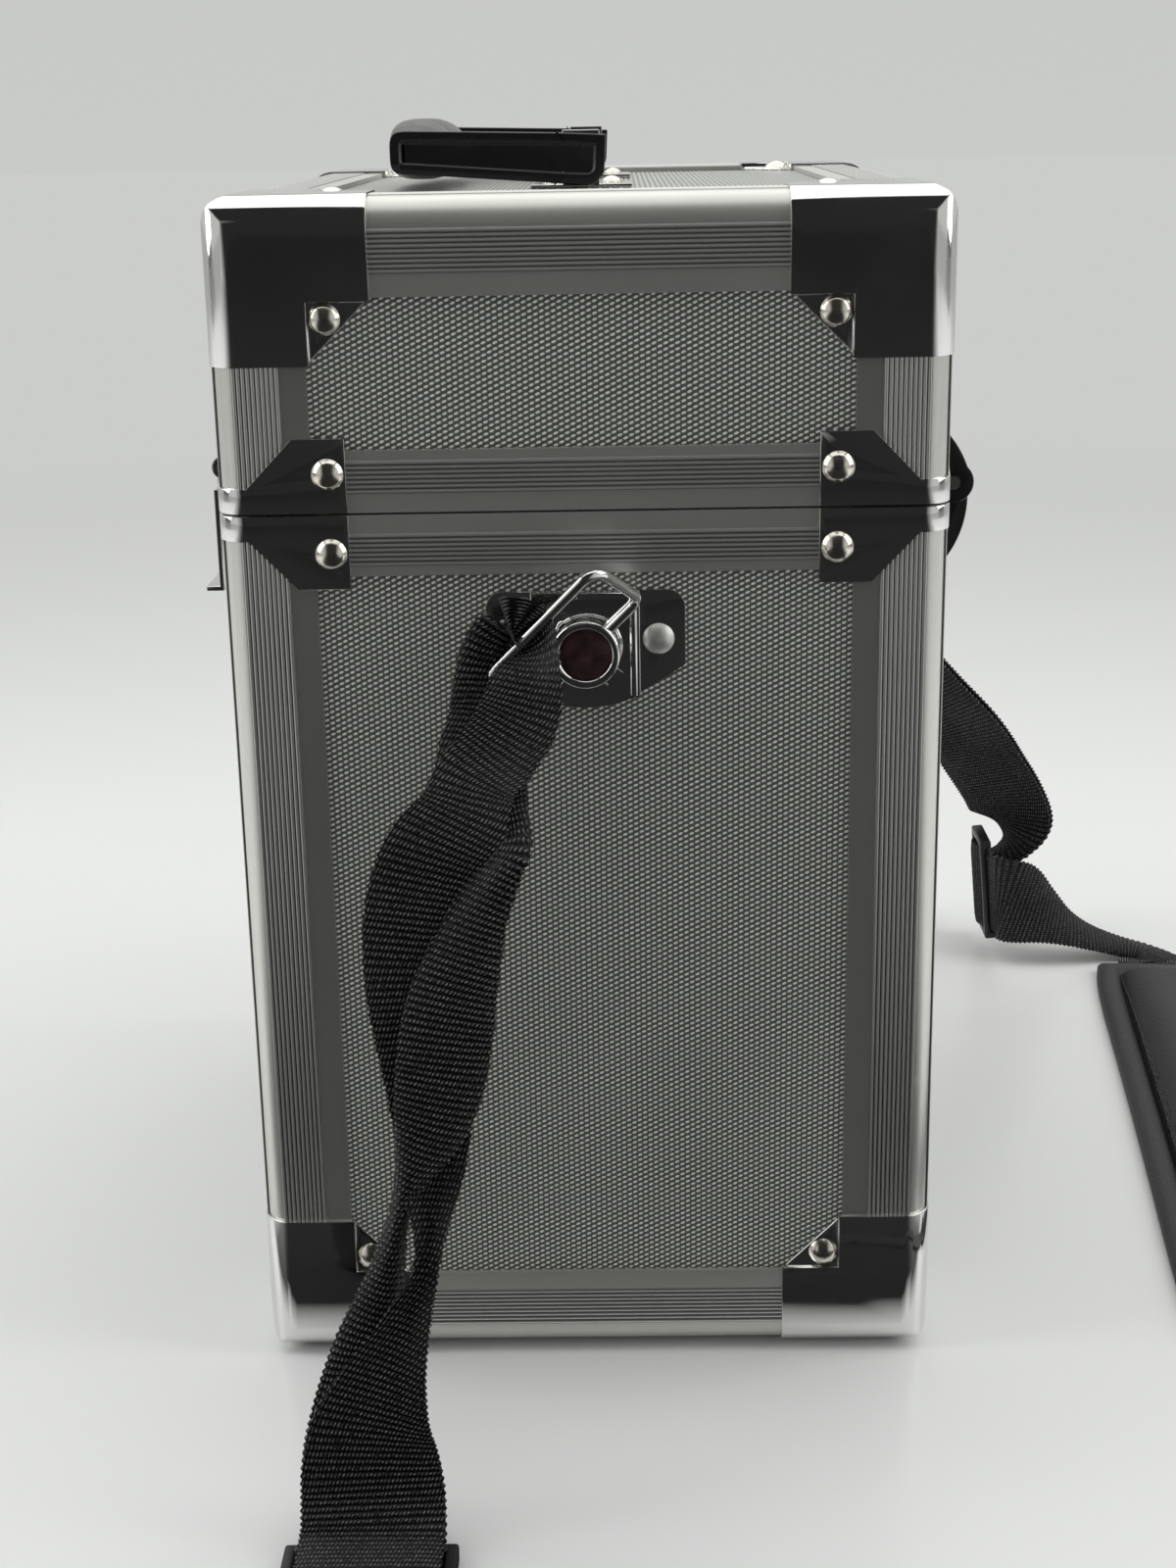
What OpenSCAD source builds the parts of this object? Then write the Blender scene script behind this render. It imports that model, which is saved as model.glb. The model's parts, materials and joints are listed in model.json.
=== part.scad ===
// Aluminium camcorder case with a lift-up lid, chrome corners, a fold-down handle and a shoulder strap.
// X runs along the case, Y across it with the latches at -Y and the hinges at +Y, and Z is up.
// The origin is under the middle of the case, level with the rivet heads that it stands on.

/* [Case] */
// Length over the rails
case_l = 270; // [250:1:320]
// Width over the rails
case_w = 200; // [180:1:240]
// Height over the rails, lid closed
case_h = 343; // [300:1:400]
// Height of the lid over its rails
lid_h = 84; // [70:1:110]
// Gap at the split between lid and body
split_gap = 0.6; // [0.4:0.1:1]

/* [Rails and panels] */
// Width that a rail shows on each face
rail_w = 26; // [24:0.5:30]
// Depth of a rail from its outer face to its inner face
rail_d = 7; // [6.5:0.5:9]
// Radius of the rails' outer edge
edge_r = 8; // [5:0.5:9]
// Wall thickness of the rail extrusions
rail_wall = 1.4; // [1:0.1:1.5]
// How far a panel reaches into its slot
slot_grip = 11.5; // [8:0.5:12]
// Depth of a rail's slot behind the panel edge
slot_spare = 0.5; // [0.3:0.1:1]
// Height of the rails along the mouth
mouth_h = 17; // [15:0.5:22]
// Panel edge held in a mouth rail
mouth_grip = 7.5; // [5:0.5:9]
// Thickness of a panel's plywood core
core_t = 3.5; // [3:0.1:4]
// Thickness of a panel's embossed skin
skin_t = 0.5; // [0.4:0.1:0.6]
// How far the panels lie below the rails
panel_recess = 1.5; // [1.5:0.1:2]
// Play between a panel and its slot, each side
slot_play = 0.1; // [0.05:0.05:0.2]
// Height of the tongue along the body's mouth
tongue_h = 2; // [1:0.2:2]
// Thickness of the tongue
tongue_t = 2; // [1.5:0.1:2.4]
// Play round the tongue
tongue_play = 0.4; // [0.4:0.05:0.6]

/* [Chrome] */
// Thickness of the corner caps and mouth brackets
chrome_t = 1; // [0.8:0.1:1.5]
// Length of a corner cap's legs
cap_leg = 44; // [40:1:50]
// Distance of a cap's rivets from both edges of their face
cap_rivet_in = 31.5; // [30.5:0.5:33]
// Reach of a mouth bracket along each face
bracket_reach = 35.5; // [34:0.5:38]
// Height of a mouth bracket
bracket_h = 20.5; // [18.5:0.5:26]
// Height of a mouth bracket where it wraps the edge
bracket_wrap_h = 7; // [5:0.5:10]
// Distance of a bracket's rivet from the case edge
bracket_rivet_in = 30.5; // [30:0.5:32]
// Height of a bracket's rivet above or below the split
bracket_rivet_up = 11; // [8:0.5:14]
// Diameter of a rivet's domed head
rivet_head_d = 8.8; // [7:0.2:9]
// Height of a rivet's domed head
rivet_head_h = 2.4; // [1.5:0.1:3]
// Diameter of a rivet's shank
rivet_d = 3.6; // [3:0.1:4]
// Play between a shank and its hole, each side
rivet_play = 0.1; // [0.05:0.05:0.2]

/* [Latches] */
// Distance of each latch's middle from the end of the case
latch_in = 53; // [52:1:65]
// Width of a latch
latch_w = 30; // [24:1:32]
// Height of the latch plate on the lid
latch_plate_h = 15; // [14:0.5:16]
// Height of the catch plate on the body
catch_h = 41; // [38:1:50]
// Thickness of the latch plates
latch_t = 1.4; // [1:0.1:2]
// Height of the hasp's pin above the split
hasp_pin_up = 7.5; // [6:0.5:9]
// Distance of the hasp's pin from the rails
hasp_pin_out = 5; // [4.6:0.1:6]
// Diameter of the hasp's pin
hasp_pin_d = 2.6; // [2:0.1:3]
// Outer radius of the hasp's knuckles
hasp_knuckle_r = 3.2; // [2.8:0.1:3.4]
// How far the hasp reaches below the split
hasp_drop = 29; // [26:1:31]
// Width of the staple that stands through the hasp
staple_w = 7; // [5:0.5:9]
// Height of the staple
staple_h = 6; // [4:0.5:8]
// Depth of the staple's middle below the split
staple_down = 11.5; // [10:0.5:13]

/* [Hinges] */
// Distance of each hinge's middle from the end of the case
hinge_in = 57; // [57:1:68]
// Width of a hinge
hinge_w = 40; // [30:1:42]
// Distance of the hinge pin from the rails
hinge_pin_out = 6.3; // [6:0.1:8]
// Diameter of the hinge pin
hinge_pin_d = 4; // [3:0.2:5]
// Outer radius of the hinge knuckles
hinge_knuckle_r = 6; // [5:0.1:6]
// How far the hinges' bowed ribs stand out from the rails
hinge_bow = 12.2; // [11:0.1:13]
// Height of the hinge leaf on the lid
hinge_up = 18.5; // [16:0.5:24]
// Height of the hinge leaf on the body
hinge_down = 30.5; // [28:0.5:36]
// Thickness of a hinge leaf
leaf_t = 2.6; // [2:0.1:2.8]

/* [Handle] */
// Length of the handle along the case
handle_l = 148; // [120:1:160]
// Reach of the handle from its pins to the middle of the grip
handle_reach = 49; // [45:1:60]
// Thickness of a handle arm along the case
arm_w = 12; // [10:0.5:14]
// Height of a handle arm at its pin
arm_h = 14; // [12:0.5:14]
// How far an arm runs past its pin
arm_tail = 7; // [6:0.2:7]
// Radius of the grip in its middle
grip_r = 11; // [9:0.5:13]
// Radius of the grip at the arms
grip_end_r = 6; // [5:0.5:7]
// Height of the handle's pins above the rails
handle_pin_up = 7.3; // [7.3:0.1:9]
// Diameter of the handle's pins
handle_pin_d = 5; // [4:0.2:6]
// Thickness of a handle bracket's ear
ear_t = 2.4; // [2:0.1:4]
// Width of a handle bracket's ear
ear_w = 11; // [10:0.5:14]
// Gap between a handle arm and its bracket
ear_gap = 0.4; // [0.3:0.1:1]

/* [Strap lugs] */
// Depth of a lug's middle below the split
lug_down = 38.7; // [38:0.1:60]
// Width of a lug plate across the case
lug_w = 55.6; // [50:0.2:60]
// Height of a lug plate
lug_h = 32.7; // [28:0.1:36]
// Thickness of a lug plate
lug_t = 1.2; // [1:0.1:1.6]
// Width of a lug plate's raised bridge
bridge_w = 30; // [26:0.5:32]
// How far the bridge stands out from the panel
bridge_out = 4.4; // [4:0.1:6]
// Distance of a lug rivet from the middle
lug_rivet_y = 20.3; // [19:0.1:22]
// Height of a lug rivet above the lug's middle
lug_rivet_up = 2.5; // [0:0.1:6]
// Diameter of a swivel button
button_d = 18; // [16:0.5:20]
// Thickness of a swivel button
button_t = 5; // [4.6:0.1:6]
// Diameter of a swivel button's stud
stud_d = 5; // [4:0.2:6]
// Diameter of the ring's wire
ring_wire = 3; // [2.6:0.1:3.2]
// Width inside a strap ring
ring_in_w = 40; // [38:0.5:44]
// Distance of a ring's far bar from its pivot
ring_reach = 25; // [22:0.5:30]
// Tilt of a resting ring out from the end face
ring_tilt = 47; // [30:1:80]
// Turn of the near ring's bar direction from straight across
near_turn = 135; // [100:1:170]
// Turn of the far ring's bar direction from straight across
far_turn = -24; // [-60:1:10]

/* [Lining] */
// Thickness of the foam lining
foam_t = 10; // [6:1:15]
// Gap between the lining and the rails
foam_gap = 1; // [0.9:0.1:3]
// Thickness of a padded divider
divider_t = 9; // [6:1:14]
// Height of the dividers above the lining's floor
divider_h = 180; // [100:1:200]
// Distance of the cross divider from the middle of the case
divider_x = 38; // [20:1:60]

/* [Strap] */
// Width of the webbing
web_w = 38; // [30:1:40]
// Thickness of the webbing
web_t = 1.8; // [1.4:0.1:2.5]
// Thickness of the two strands of a strap loop together
loop_t = 5; // [4:0.5:8]
// Length of a strap slider
slider_l = 25; // [20:1:32]
// Width of a strap slider
slider_w = 46; // [44:1:50]
// Thickness of a strap slider
slider_t = 5; // [4:0.5:7]
// Length of the shoulder pad
pad_l = 310; // [280:1:330]
// Width of the shoulder pad
pad_w = 62; // [50:1:70]
// Thickness of the shoulder pad at its crown
pad_t = 13; // [9:1:16]

/* [Hidden] */

$fn = 48;
big = 1000;
half_l = case_l / 2;
half_w = case_w / 2;
latch_x = half_l - latch_in;
hinge_x = half_l - hinge_in;
cap_plate_out = panel_recess - chrome_t;
z_low = max(chrome_t, rivet_head_h - cap_plate_out);
z_top = z_low + case_h;
z_split = z_top - lid_h;
body_top = z_split - split_gap / 2;
lid_low = z_split + split_gap / 2;
panel_t = core_t + skin_t;
slot_in = rail_w - slot_grip - slot_spare;
panel_in = rail_w - slot_grip;
inner_face = panel_recess + panel_t;
cap_seat = 0.05;
rivet_hole_d = rivet_d + 2 * rivet_play;
tail_t = 0.9;
tail_d = 6.4;
run_play = 0.05;
mitre_gap = 0.05;
lug_z = z_split - lug_down;
panel_x = half_l - panel_recess;
button_in = panel_x + bridge_out + 0.3;
button_mid = button_in + button_t / 2;
stub_in = 2.5;
soft_gap = 0.3;
strap_floor = soft_gap + web_t / 2;

// Copies of a thing to the four upright edges, the two ends and the two sides
module each_corner() {
    for (sx = [0, 1], sy = [0, 1]) mirror([sx, 0, 0]) mirror([0, sy, 0]) children();
}
module each_end() { for (s = [0, 1]) mirror([s, 0, 0]) children(); }
module each_side() { for (s = [0, 1]) mirror([0, s, 0]) children(); }

// A piece drawn for the body, turned over so that it sits at the same place in the lid
module turned_over() { translate([0, 0, z_low + z_top]) mirror([0, 0, 1]) children(); }

// A quarter of a rounded square, corner at the origin, grown outwards by g
module rounded_quarter(size, g) {
    r = edge_r + g;
    translate([-g, -g]) intersection() {
        square(size);
        union() {
            translate([r, r]) circle(r);
            translate([r, 0]) square(size);
            translate([0, r]) square(size);
        }
    }
}

// The rail's section, with its outer corner at the origin and a slot for a panel in each leg
module rail_section() {
    slot_t = panel_t + 2 * slot_play;
    slot_at = panel_recess - slot_play;
    difference() {
        rounded_quarter(rail_w, 0);
        translate([rail_d, rail_d]) square(rail_w);
        translate([slot_in, slot_at]) square([rail_w, slot_t]);
        translate([slot_at, slot_in]) square([slot_t, rail_w]);
        intersection() {
            rounded_quarter(rail_w, -rail_wall);
            union() {
                square([slot_in - rail_wall, rail_d - rail_wall]);
                square([rail_d - rail_wall, slot_in - rail_wall]);
            }
        }
    }
}

// The section of a rail along the mouth, upright, its outer face at u = 0 and the split at the top
module mouth_section() {
    difference() {
        translate([0, -mouth_h]) square([rail_d, mouth_h]);
        translate([panel_recess - slot_play, -mouth_h - 1])
            square([panel_t + 2 * slot_play, mouth_grip + slot_spare + 1]);
    }
}
tongue_in = rail_d - tongue_t - 0.6;
module tongue_section() { translate([tongue_in, -1]) square([tongue_t, tongue_h + 1]); }
module groove_section() {
    translate([tongue_in - tongue_play, -1])
        square([tongue_t + 2 * tongue_play, tongue_h + tongue_play + 1]);
}

// Sections run along the case or across it, u pointing inwards and v up
module along_case(long) {
    translate([0, -half_w, 0]) rotate([90, 0, 90]) linear_extrude(long, center = true) children();
}
module across_case(long) {
    translate([-half_l, 0, 0]) rotate([90, 0, 0]) linear_extrude(long, center = true) children();
}

// Body posts from the bottom corners to the split, cut at the corner to meet the bottom rails
module posts(top) {
    each_corner() difference() {
        translate([-half_l, -half_w, z_low]) linear_extrude(top - z_low) rail_section();
        translate([-half_l, -half_w, z_low]) {
            rotate([90, 0, 0]) linear_extrude(4 * rail_w, center = true)
                polygon([[0, 0], [2 * rail_w, 2 * rail_w], [2 * rail_w, -1], [0, -1]]);
            rotate([90, 0, 90]) linear_extrude(4 * rail_w, center = true)
                polygon([[0, 0], [2 * rail_w, 2 * rail_w], [2 * rail_w, -1], [0, -1]]);
        }
    }
}

// Rails round the bottom, mitred with each other and with the posts
module mitre_wedge(long) {
    polygon([[-long / 2 + mitre_gap, 0], [long / 2 - mitre_gap, 0],
        [long / 2 - 2 * rail_w - mitre_gap, 2 * rail_w], [2 * rail_w - long / 2 + mitre_gap, 2 * rail_w]]);
}
module ring_rails() {
    each_side() intersection() {
        translate([0, 0, z_low]) along_case(case_l) rail_section();
        translate([0, -half_w, z_low]) linear_extrude(2 * rail_w) mitre_wedge(case_l);
        translate([0, 0, z_low]) rotate([90, 0, 0]) linear_extrude(case_w + 2, center = true)
            mitre_wedge(case_l);
    }
    each_end() intersection() {
        translate([0, 0, z_low]) across_case(case_w) rail_section();
        translate([-half_l, 0, z_low]) linear_extrude(2 * rail_w) rotate(-90) mitre_wedge(case_w);
        translate([0, 0, z_low]) rotate([90, 0, 90]) linear_extrude(case_l + 2, center = true)
            mitre_wedge(case_w);
    }
}

// A set of four rails between the posts, made from a section
module mouth_set(level) {
    translate([0, 0, level]) {
        each_side() along_case(case_l - 2 * rail_w) children();
        each_end() across_case(case_w - 2 * rail_w) children();
    }
}

// Places of the rivets: three through each bottom corner cap, two through each mouth bracket
module at_cap_rivets() {
    each_corner() translate([-half_l, -half_w, z_low]) {
        translate([cap_rivet_in, cap_rivet_in, 0]) rotate([180, 0, 0]) children();
        translate([cap_rivet_in, 0, cap_rivet_in]) rotate([90, 0, 0]) children();
        translate([0, cap_rivet_in, cap_rivet_in]) rotate([0, -90, 0]) children();
    }
}
module at_bracket_rivets(level) {
    each_corner() translate([-half_l, -half_w, level]) {
        translate([bracket_rivet_in, 0, 0]) rotate([90, 0, 0]) children();
        translate([0, bracket_rivet_in, 0]) rotate([0, -90, 0]) children();
    }
}
body_bracket_z = z_split - bracket_rivet_up;
lid_bracket_z = z_split + bracket_rivet_up;

// A rivet whose head sits at height `seat` over the rails and whose tail is `deep` below them
module rivet(seat, deep, head_d, head_h) {
    ball = (head_d * head_d / 4 + head_h * head_h) / (2 * head_h);
    difference() {
        translate([0, 0, seat + head_h - ball]) sphere(ball);
        translate([0, 0, seat - big]) cube([big, big, 2 * big], center = true);
    }
    translate([0, 0, -deep]) cylinder(h = deep + seat + 0.2, d = rivet_d);
    translate([0, 0, -deep - tail_t]) cylinder(h = tail_t, d = tail_d);
}
module rivet_hole() { translate([0, 0, -2 * rail_d]) cylinder(h = 4 * rail_d, d = rivet_hole_d); }

// All holes through the body's and the lid's panels, skins and rails
module body_holes() {
    at_cap_rivets() rivet_hole();
    at_bracket_rivets(body_bracket_z) rivet_hole();
    at_latch_rivets() rivet_hole();
    at_hinge_rivets(-1) rivet_hole();
    at_lug_rivets() rivet_hole();
}
module lid_holes() {
    turned_over() at_cap_rivets() rivet_hole();
    at_bracket_rivets(lid_bracket_z) rivet_hole();
    at_hinge_rivets(1) rivet_hole();
    at_handle_rivets() rivet_hole();
}

// Panels, each drawn from a depth below the rail face and a thickness
panel_low = z_low + panel_in;
panel_top = body_top - mouth_h + mouth_grip;
module side_panel(low, top, deep, thick) {
    translate([panel_in - half_l, deep - half_w, low]) cube([case_l - 2 * panel_in, thick, top - low]);
}
module end_panel(low, top, deep, thick) {
    translate([deep - half_l, panel_in - half_w, low]) cube([thick, case_w - 2 * panel_in, top - low]);
}
module flat_panel(deep, thick) {
    translate([panel_in - half_l, panel_in - half_w, z_low + deep])
        cube([case_l - 2 * panel_in, case_w - 2 * panel_in, thick]);
}
core_in = panel_recess + skin_t;
lid_panel_top = z_low + z_top - lid_low - mouth_h + mouth_grip;

module body_posts() { color("silver") difference() { posts(body_top); body_holes(); } }
module body_bottom_rails() { color("silver") ring_rails(); }
module body_mouth_rails() {
    color("silver") difference() {
        mouth_set(body_top) { union() { mouth_section(); tongue_section(); } }
        body_holes();
    }
}
module body_front_panel() {
    color("tan") difference() { side_panel(panel_low, panel_top, core_in, core_t); body_holes(); }
}
module body_back_panel() {
    color("tan") difference() {
        mirror([0, 1, 0]) side_panel(panel_low, panel_top, core_in, core_t);
        body_holes();
    }
}
module body_end_panels() {
    color("tan") difference() {
        each_end() end_panel(panel_low, panel_top, core_in, core_t);
        body_holes();
    }
}
module body_floor_panel() { color("tan") difference() { flat_panel(core_in, core_t); body_holes(); } }
module body_skins() {
    color("gainsboro") difference() {
        union() {
            each_side() side_panel(panel_low, panel_top, panel_recess, skin_t);
            each_end() end_panel(panel_low, panel_top, panel_recess, skin_t);
            flat_panel(panel_recess, skin_t);
        }
        body_holes();
    }
}

module lid_posts() {
    color("silver") difference() { turned_over() posts(z_low + z_top - lid_low); lid_holes(); }
}
module lid_top_rails() { color("silver") turned_over() ring_rails(); }
module lid_mouth_rails() {
    color("silver") difference() {
        turned_over() mouth_set(z_low + z_top - lid_low) mouth_section();
        mouth_set(lid_low) groove_section();
        lid_holes();
    }
}
module lid_top_panel() {
    color("tan") difference() { turned_over() flat_panel(core_in, core_t); lid_holes(); }
}
module lid_side_panels() {
    color("tan") difference() {
        turned_over() {
            each_side() side_panel(panel_low, lid_panel_top, core_in, core_t);
            each_end() end_panel(panel_low, lid_panel_top, core_in, core_t);
        }
        lid_holes();
    }
}
module lid_skins() {
    color("gainsboro") difference() {
        turned_over() {
            each_side() side_panel(panel_low, lid_panel_top, panel_recess, skin_t);
            each_end() end_panel(panel_low, lid_panel_top, panel_recess, skin_t);
            flat_panel(panel_recess, skin_t);
        }
        lid_holes();
    }
}

// A block over the whole case, grown by g, with the rails' rounded edges
module grown_corner(g) {
    far = 2 * cap_leg;
    intersection() {
        translate([0, 0, -g]) linear_extrude(far) rounded_quarter(far, g);
        translate([-g, 0, 0]) rotate([90, 0, 90]) linear_extrude(far) rounded_quarter(far, g);
        translate([0, far - g, 0]) rotate([90, 0, 0]) linear_extrude(far) rounded_quarter(far, g);
    }
}

// A pressed corner cap, corner of the case at the origin, with a sunk three-cornered seat on each face
module cap_seat_plate() {
    side = cap_leg - rail_w;
    difference() {
        translate([rail_w, rail_w, cap_plate_out]) linear_extrude(chrome_t)
            polygon([[0, 0], [side, 0], [0, side]]);
        translate([cap_rivet_in, cap_rivet_in, -1]) cylinder(h = 9, d = rivet_hole_d);
    }
    for (turn = [0, 1]) mirror([turn, -turn, 0])
        translate([rail_w, rail_w, -chrome_t]) cube([side, chrome_t, panel_recess + chrome_t]);
}
module corner_cap() {
    leg = cap_leg + chrome_t;
    wide = rail_w + chrome_t;
    intersection() {
        difference() { grown_corner(chrome_t); grown_corner(cap_seat); }
        translate([-chrome_t, -chrome_t, -chrome_t]) union() {
            cube([leg, wide, wide]);
            cube([wide, leg, wide]);
            cube([wide, wide, leg]);
        }
    }
    cap_seat_plate();
    mirror([0, 1, -1]) cap_seat_plate();
    mirror([1, 0, -1]) cap_seat_plate();
}
module body_corners() { color("lightgray") each_corner() translate([-half_l, -half_w, z_low]) corner_cap(); }
module lid_corners() {
    color("lightgray") turned_over() each_corner() translate([-half_l, -half_w, z_low]) corner_cap();
}

// A mouth bracket wrapped round an upright edge, its straight edge on the split
module bracket_outline() {
    polygon([[-chrome_t, 0], [bracket_reach, 0], [bracket_reach, bracket_h], [rail_w - 5, bracket_h],
        [edge_r, bracket_wrap_h], [-chrome_t, bracket_wrap_h]]);
}
module mouth_bracket() {
    tab_in = rail_w + 0.5;
    difference() {
        union() {
            intersection() {
                linear_extrude(bracket_h) difference() {
                    rounded_quarter(2 * cap_leg, chrome_t);
                    rounded_quarter(3 * cap_leg, cap_seat);
                }
                union() {
                    translate([0, edge_r, 0]) rotate([90, 0, 0]) linear_extrude(2 * edge_r)
                        bracket_outline();
                    translate([-edge_r, 0, 0]) rotate([90, 0, 90]) linear_extrude(2 * edge_r)
                        bracket_outline();
                }
            }
            for (turn = [0, 1]) mirror([turn, -turn, 0])
                translate([tab_in, -chrome_t, bracket_h - chrome_t])
                    cube([bracket_reach - tab_in, panel_recess + chrome_t, chrome_t]);
        }
        translate([bracket_rivet_in, 0, bracket_rivet_up - split_gap / 2])
            rotate([90, 0, 0]) cylinder(h = 8, d = rivet_hole_d, center = true);
        translate([0, bracket_rivet_in, bracket_rivet_up - split_gap / 2])
            rotate([0, 90, 0]) cylinder(h = 8, d = rivet_hole_d, center = true);
    }
}
module body_mouth_brackets() {
    color("lightgray") each_corner() translate([-half_l, -half_w, body_top])
        mirror([0, 0, 1]) mouth_bracket();
}
module lid_mouth_brackets() {
    color("lightgray") each_corner() translate([-half_l, -half_w, lid_low]) mouth_bracket();
}

module body_corner_rivets() {
    color("khaki") at_cap_rivets() rivet(-cap_plate_out, inner_face, rivet_head_d, rivet_head_h);
}
module lid_corner_rivets() {
    color("khaki") turned_over() at_cap_rivets()
        rivet(-cap_plate_out, inner_face, rivet_head_d, rivet_head_h);
}
module body_bracket_rivets() {
    color("khaki") at_bracket_rivets(body_bracket_z) rivet(chrome_t, rail_d, rivet_head_d, rivet_head_h);
}
module lid_bracket_rivets() {
    color("khaki") at_bracket_rivets(lid_bracket_z) rivet(chrome_t, rail_d, rivet_head_d, rivet_head_h);
}

// Foam lining: an open tray in the body and a shallow one in the lid
lining_l = case_l - 2 * (rail_d + foam_gap);
lining_w = case_w - 2 * (rail_d + foam_gap);
room_l = lining_l - 2 * foam_t;
room_w = lining_w - 2 * foam_t;
lining_low = z_low + rail_d + soft_gap;
lining_top = body_top - 2;
lid_lining_low = lid_low + 4;
lid_lining_top = z_top - rail_d - soft_gap;
module body_lining() {
    color("dimgray") difference() {
        translate([-lining_l / 2, -lining_w / 2, lining_low])
            cube([lining_l, lining_w, lining_top - lining_low]);
        translate([foam_t - lining_l / 2, foam_t - lining_w / 2, lining_low + foam_t])
            cube([room_l, room_w, lining_top]);
    }
}
module lid_lining() {
    color("dimgray") difference() {
        translate([-lining_l / 2, -lining_w / 2, lid_lining_low])
            cube([lining_l, lining_w, lid_lining_top - lid_lining_low]);
        translate([foam_t - lining_l / 2, foam_t - lining_w / 2, lid_lining_low - 1])
            cube([room_l, room_w, lid_lining_top - lid_lining_low + 1 - foam_t]);
    }
}
divider_low = lining_low + foam_t + soft_gap;
module cross_divider() {
    color("gray") translate([divider_x - divider_t / 2, soft_gap - room_w / 2, divider_low])
        cube([divider_t, room_w - 2 * soft_gap, divider_h]);
}
module side_divider() {
    long = room_l / 2 - divider_x - divider_t / 2 - 2 * soft_gap;
    color("gray") translate([divider_x + divider_t / 2 + soft_gap, -divider_t / 2, divider_low])
        cube([long, divider_t, divider_h]);
}

// Handle, drawn flat about its pins and then raised until the grip rests on the lid
handle_z = z_top + handle_pin_up;
lid_panel_z = z_top - panel_recess;
handle_rise = asin((lid_panel_z + soft_gap + grip_r - handle_z) / handle_reach);
arm_in = handle_l / 2 - arm_w;
pin_head_t = 1.5;
pin_in = arm_in - ear_gap - ear_t - pin_head_t - 0.1;
module arm_outline() {
    corner = 5;
    union() {
        intersection() {
            union() {
                translate([arm_tail - corner, corner - arm_h / 2]) circle(corner);
                translate([-arm_tail, -arm_h / 2]) square([2 * arm_tail - corner, arm_h]);
                translate([-arm_tail, corner - arm_h / 2]) square([2 * arm_tail, arm_h - corner]);
            }
            square(2 * arm_h, center = true);
        }
        polygon([[1 - arm_tail, -arm_h / 2], [1 - arm_tail, arm_h / 2],
            [-handle_reach, grip_end_r], [-handle_reach, -grip_end_r]]);
        translate([-handle_reach, 0]) circle(grip_end_r);
    }
}
grip_steps = 6;
grip_half = arm_in + 1;
function grip_radius(t) = grip_end_r + (grip_r - grip_end_r) * pow(cos(90 * t), 0.8);
module handle() {
    color("black") translate([0, 0, handle_z]) rotate([-handle_rise, 0, 0]) {
        each_end() difference() {
            translate([arm_in, 0, 0]) rotate([90, 0, 90]) linear_extrude(arm_w) arm_outline();
            translate([arm_in - 1, 0, 0]) rotate([0, 90, 0])
                cylinder(h = arm_w - 2, d = handle_pin_d + 2 * run_play);
        }
        translate([0, -handle_reach, 0]) rotate([0, 90, 0]) rotate_extrude()
            polygon(concat([[0, grip_half], [0, -grip_half]],
                [for (i = [-grip_steps:grip_steps])
                    [grip_radius(abs(i) / grip_steps), i * grip_half / grip_steps]]));
    }
}
bracket_l = 26;
bracket_w = 30;
pin_grip = 0.7 * arm_w;
bracket_out = arm_in - ear_gap;
module handle_bracket() {
    ear_top = handle_pin_up + arm_h / 2 + 1;
    difference() {
        union() {
            translate([bracket_out - bracket_l, -bracket_w / 2, lid_panel_z])
                cube([bracket_l, bracket_w, latch_t]);
            translate([bracket_out - ear_t, -ear_w / 2, lid_panel_z])
                cube([ear_t, ear_w, ear_top + panel_recess]);
        }
        translate([bracket_out - ear_t - 1, 0, handle_z]) rotate([0, 90, 0])
            cylinder(h = ear_t + 2, d = handle_pin_d + 2 * run_play);
        at_handle_rivets() rivet_hole();
    }
}
module at_handle_rivets() {
    each_end() for (y = [-1, 1]) translate([bracket_out - bracket_l / 2 - 2, y * bracket_w / 3.4, z_top])
        children();
}
module handle_brackets() { color("lightgray") each_end() handle_bracket(); }
module handle_pins() {
    color("lightgray") each_end() translate([pin_in, 0, handle_z]) rotate([0, 90, 0]) {
        cylinder(h = arm_in + pin_grip - pin_in, d = handle_pin_d);
        cylinder(h = pin_head_t, d = handle_pin_d + 2 * pin_head_t);
    }
}
module handle_rivets() {
    color("khaki") at_handle_rivets()
        rivet(latch_t - panel_recess, inner_face, latch_head_d, latch_head_h);
}

// Latches: a plate and a pinned hasp on the lid, a catch plate with a staple on the body
hasp_z = z_split + hasp_pin_up;
hasp_y = -half_w - hasp_pin_out;
side_knuckle = latch_w * 0.27;
knuckle_gap = 0.3;
module at_latches() { each_end() translate([latch_x, 0, 0]) children(); }
module latch_barrel(from, long) {
    translate([from, hasp_y, hasp_z]) rotate([0, 90, 0]) cylinder(h = long, r = hasp_knuckle_r);
}
module latch_lid_plates() {
    color("lightgray") at_latches() difference() {
        union() {
            translate([-latch_w / 2, -half_w - latch_t, z_split + plate_up])
                cube([latch_w, latch_t, latch_plate_h]);
            for (s = [0, 1]) mirror([s, 0, 0]) {
                latch_barrel(latch_w / 2 - side_knuckle, side_knuckle);
                translate([latch_w / 2 - side_knuckle, hasp_y, hasp_z])
                    cube([side_knuckle, hasp_pin_out - latch_t / 2, hasp_knuckle_r]);
            }
        }
        translate([-latch_w, hasp_y, hasp_z]) rotate([0, 90, 0])
            cylinder(h = 2 * latch_w, d = hasp_pin_d + 2 * run_play);
    }
}
latch_pin_past = 0.4;
module latch_pins() {
    color("lightgray") at_latches() translate([-latch_w / 2 - latch_pin_past, hasp_y, hasp_z])
        rotate([0, 90, 0]) cylinder(h = latch_w + 2 * latch_pin_past, d = hasp_pin_d);
}
hasp_out = hasp_y - hasp_knuckle_r;
plate_play = 0.2;
plate_up = 1.5;
latch_head_d = 7;
latch_head_h = 2;
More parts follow.
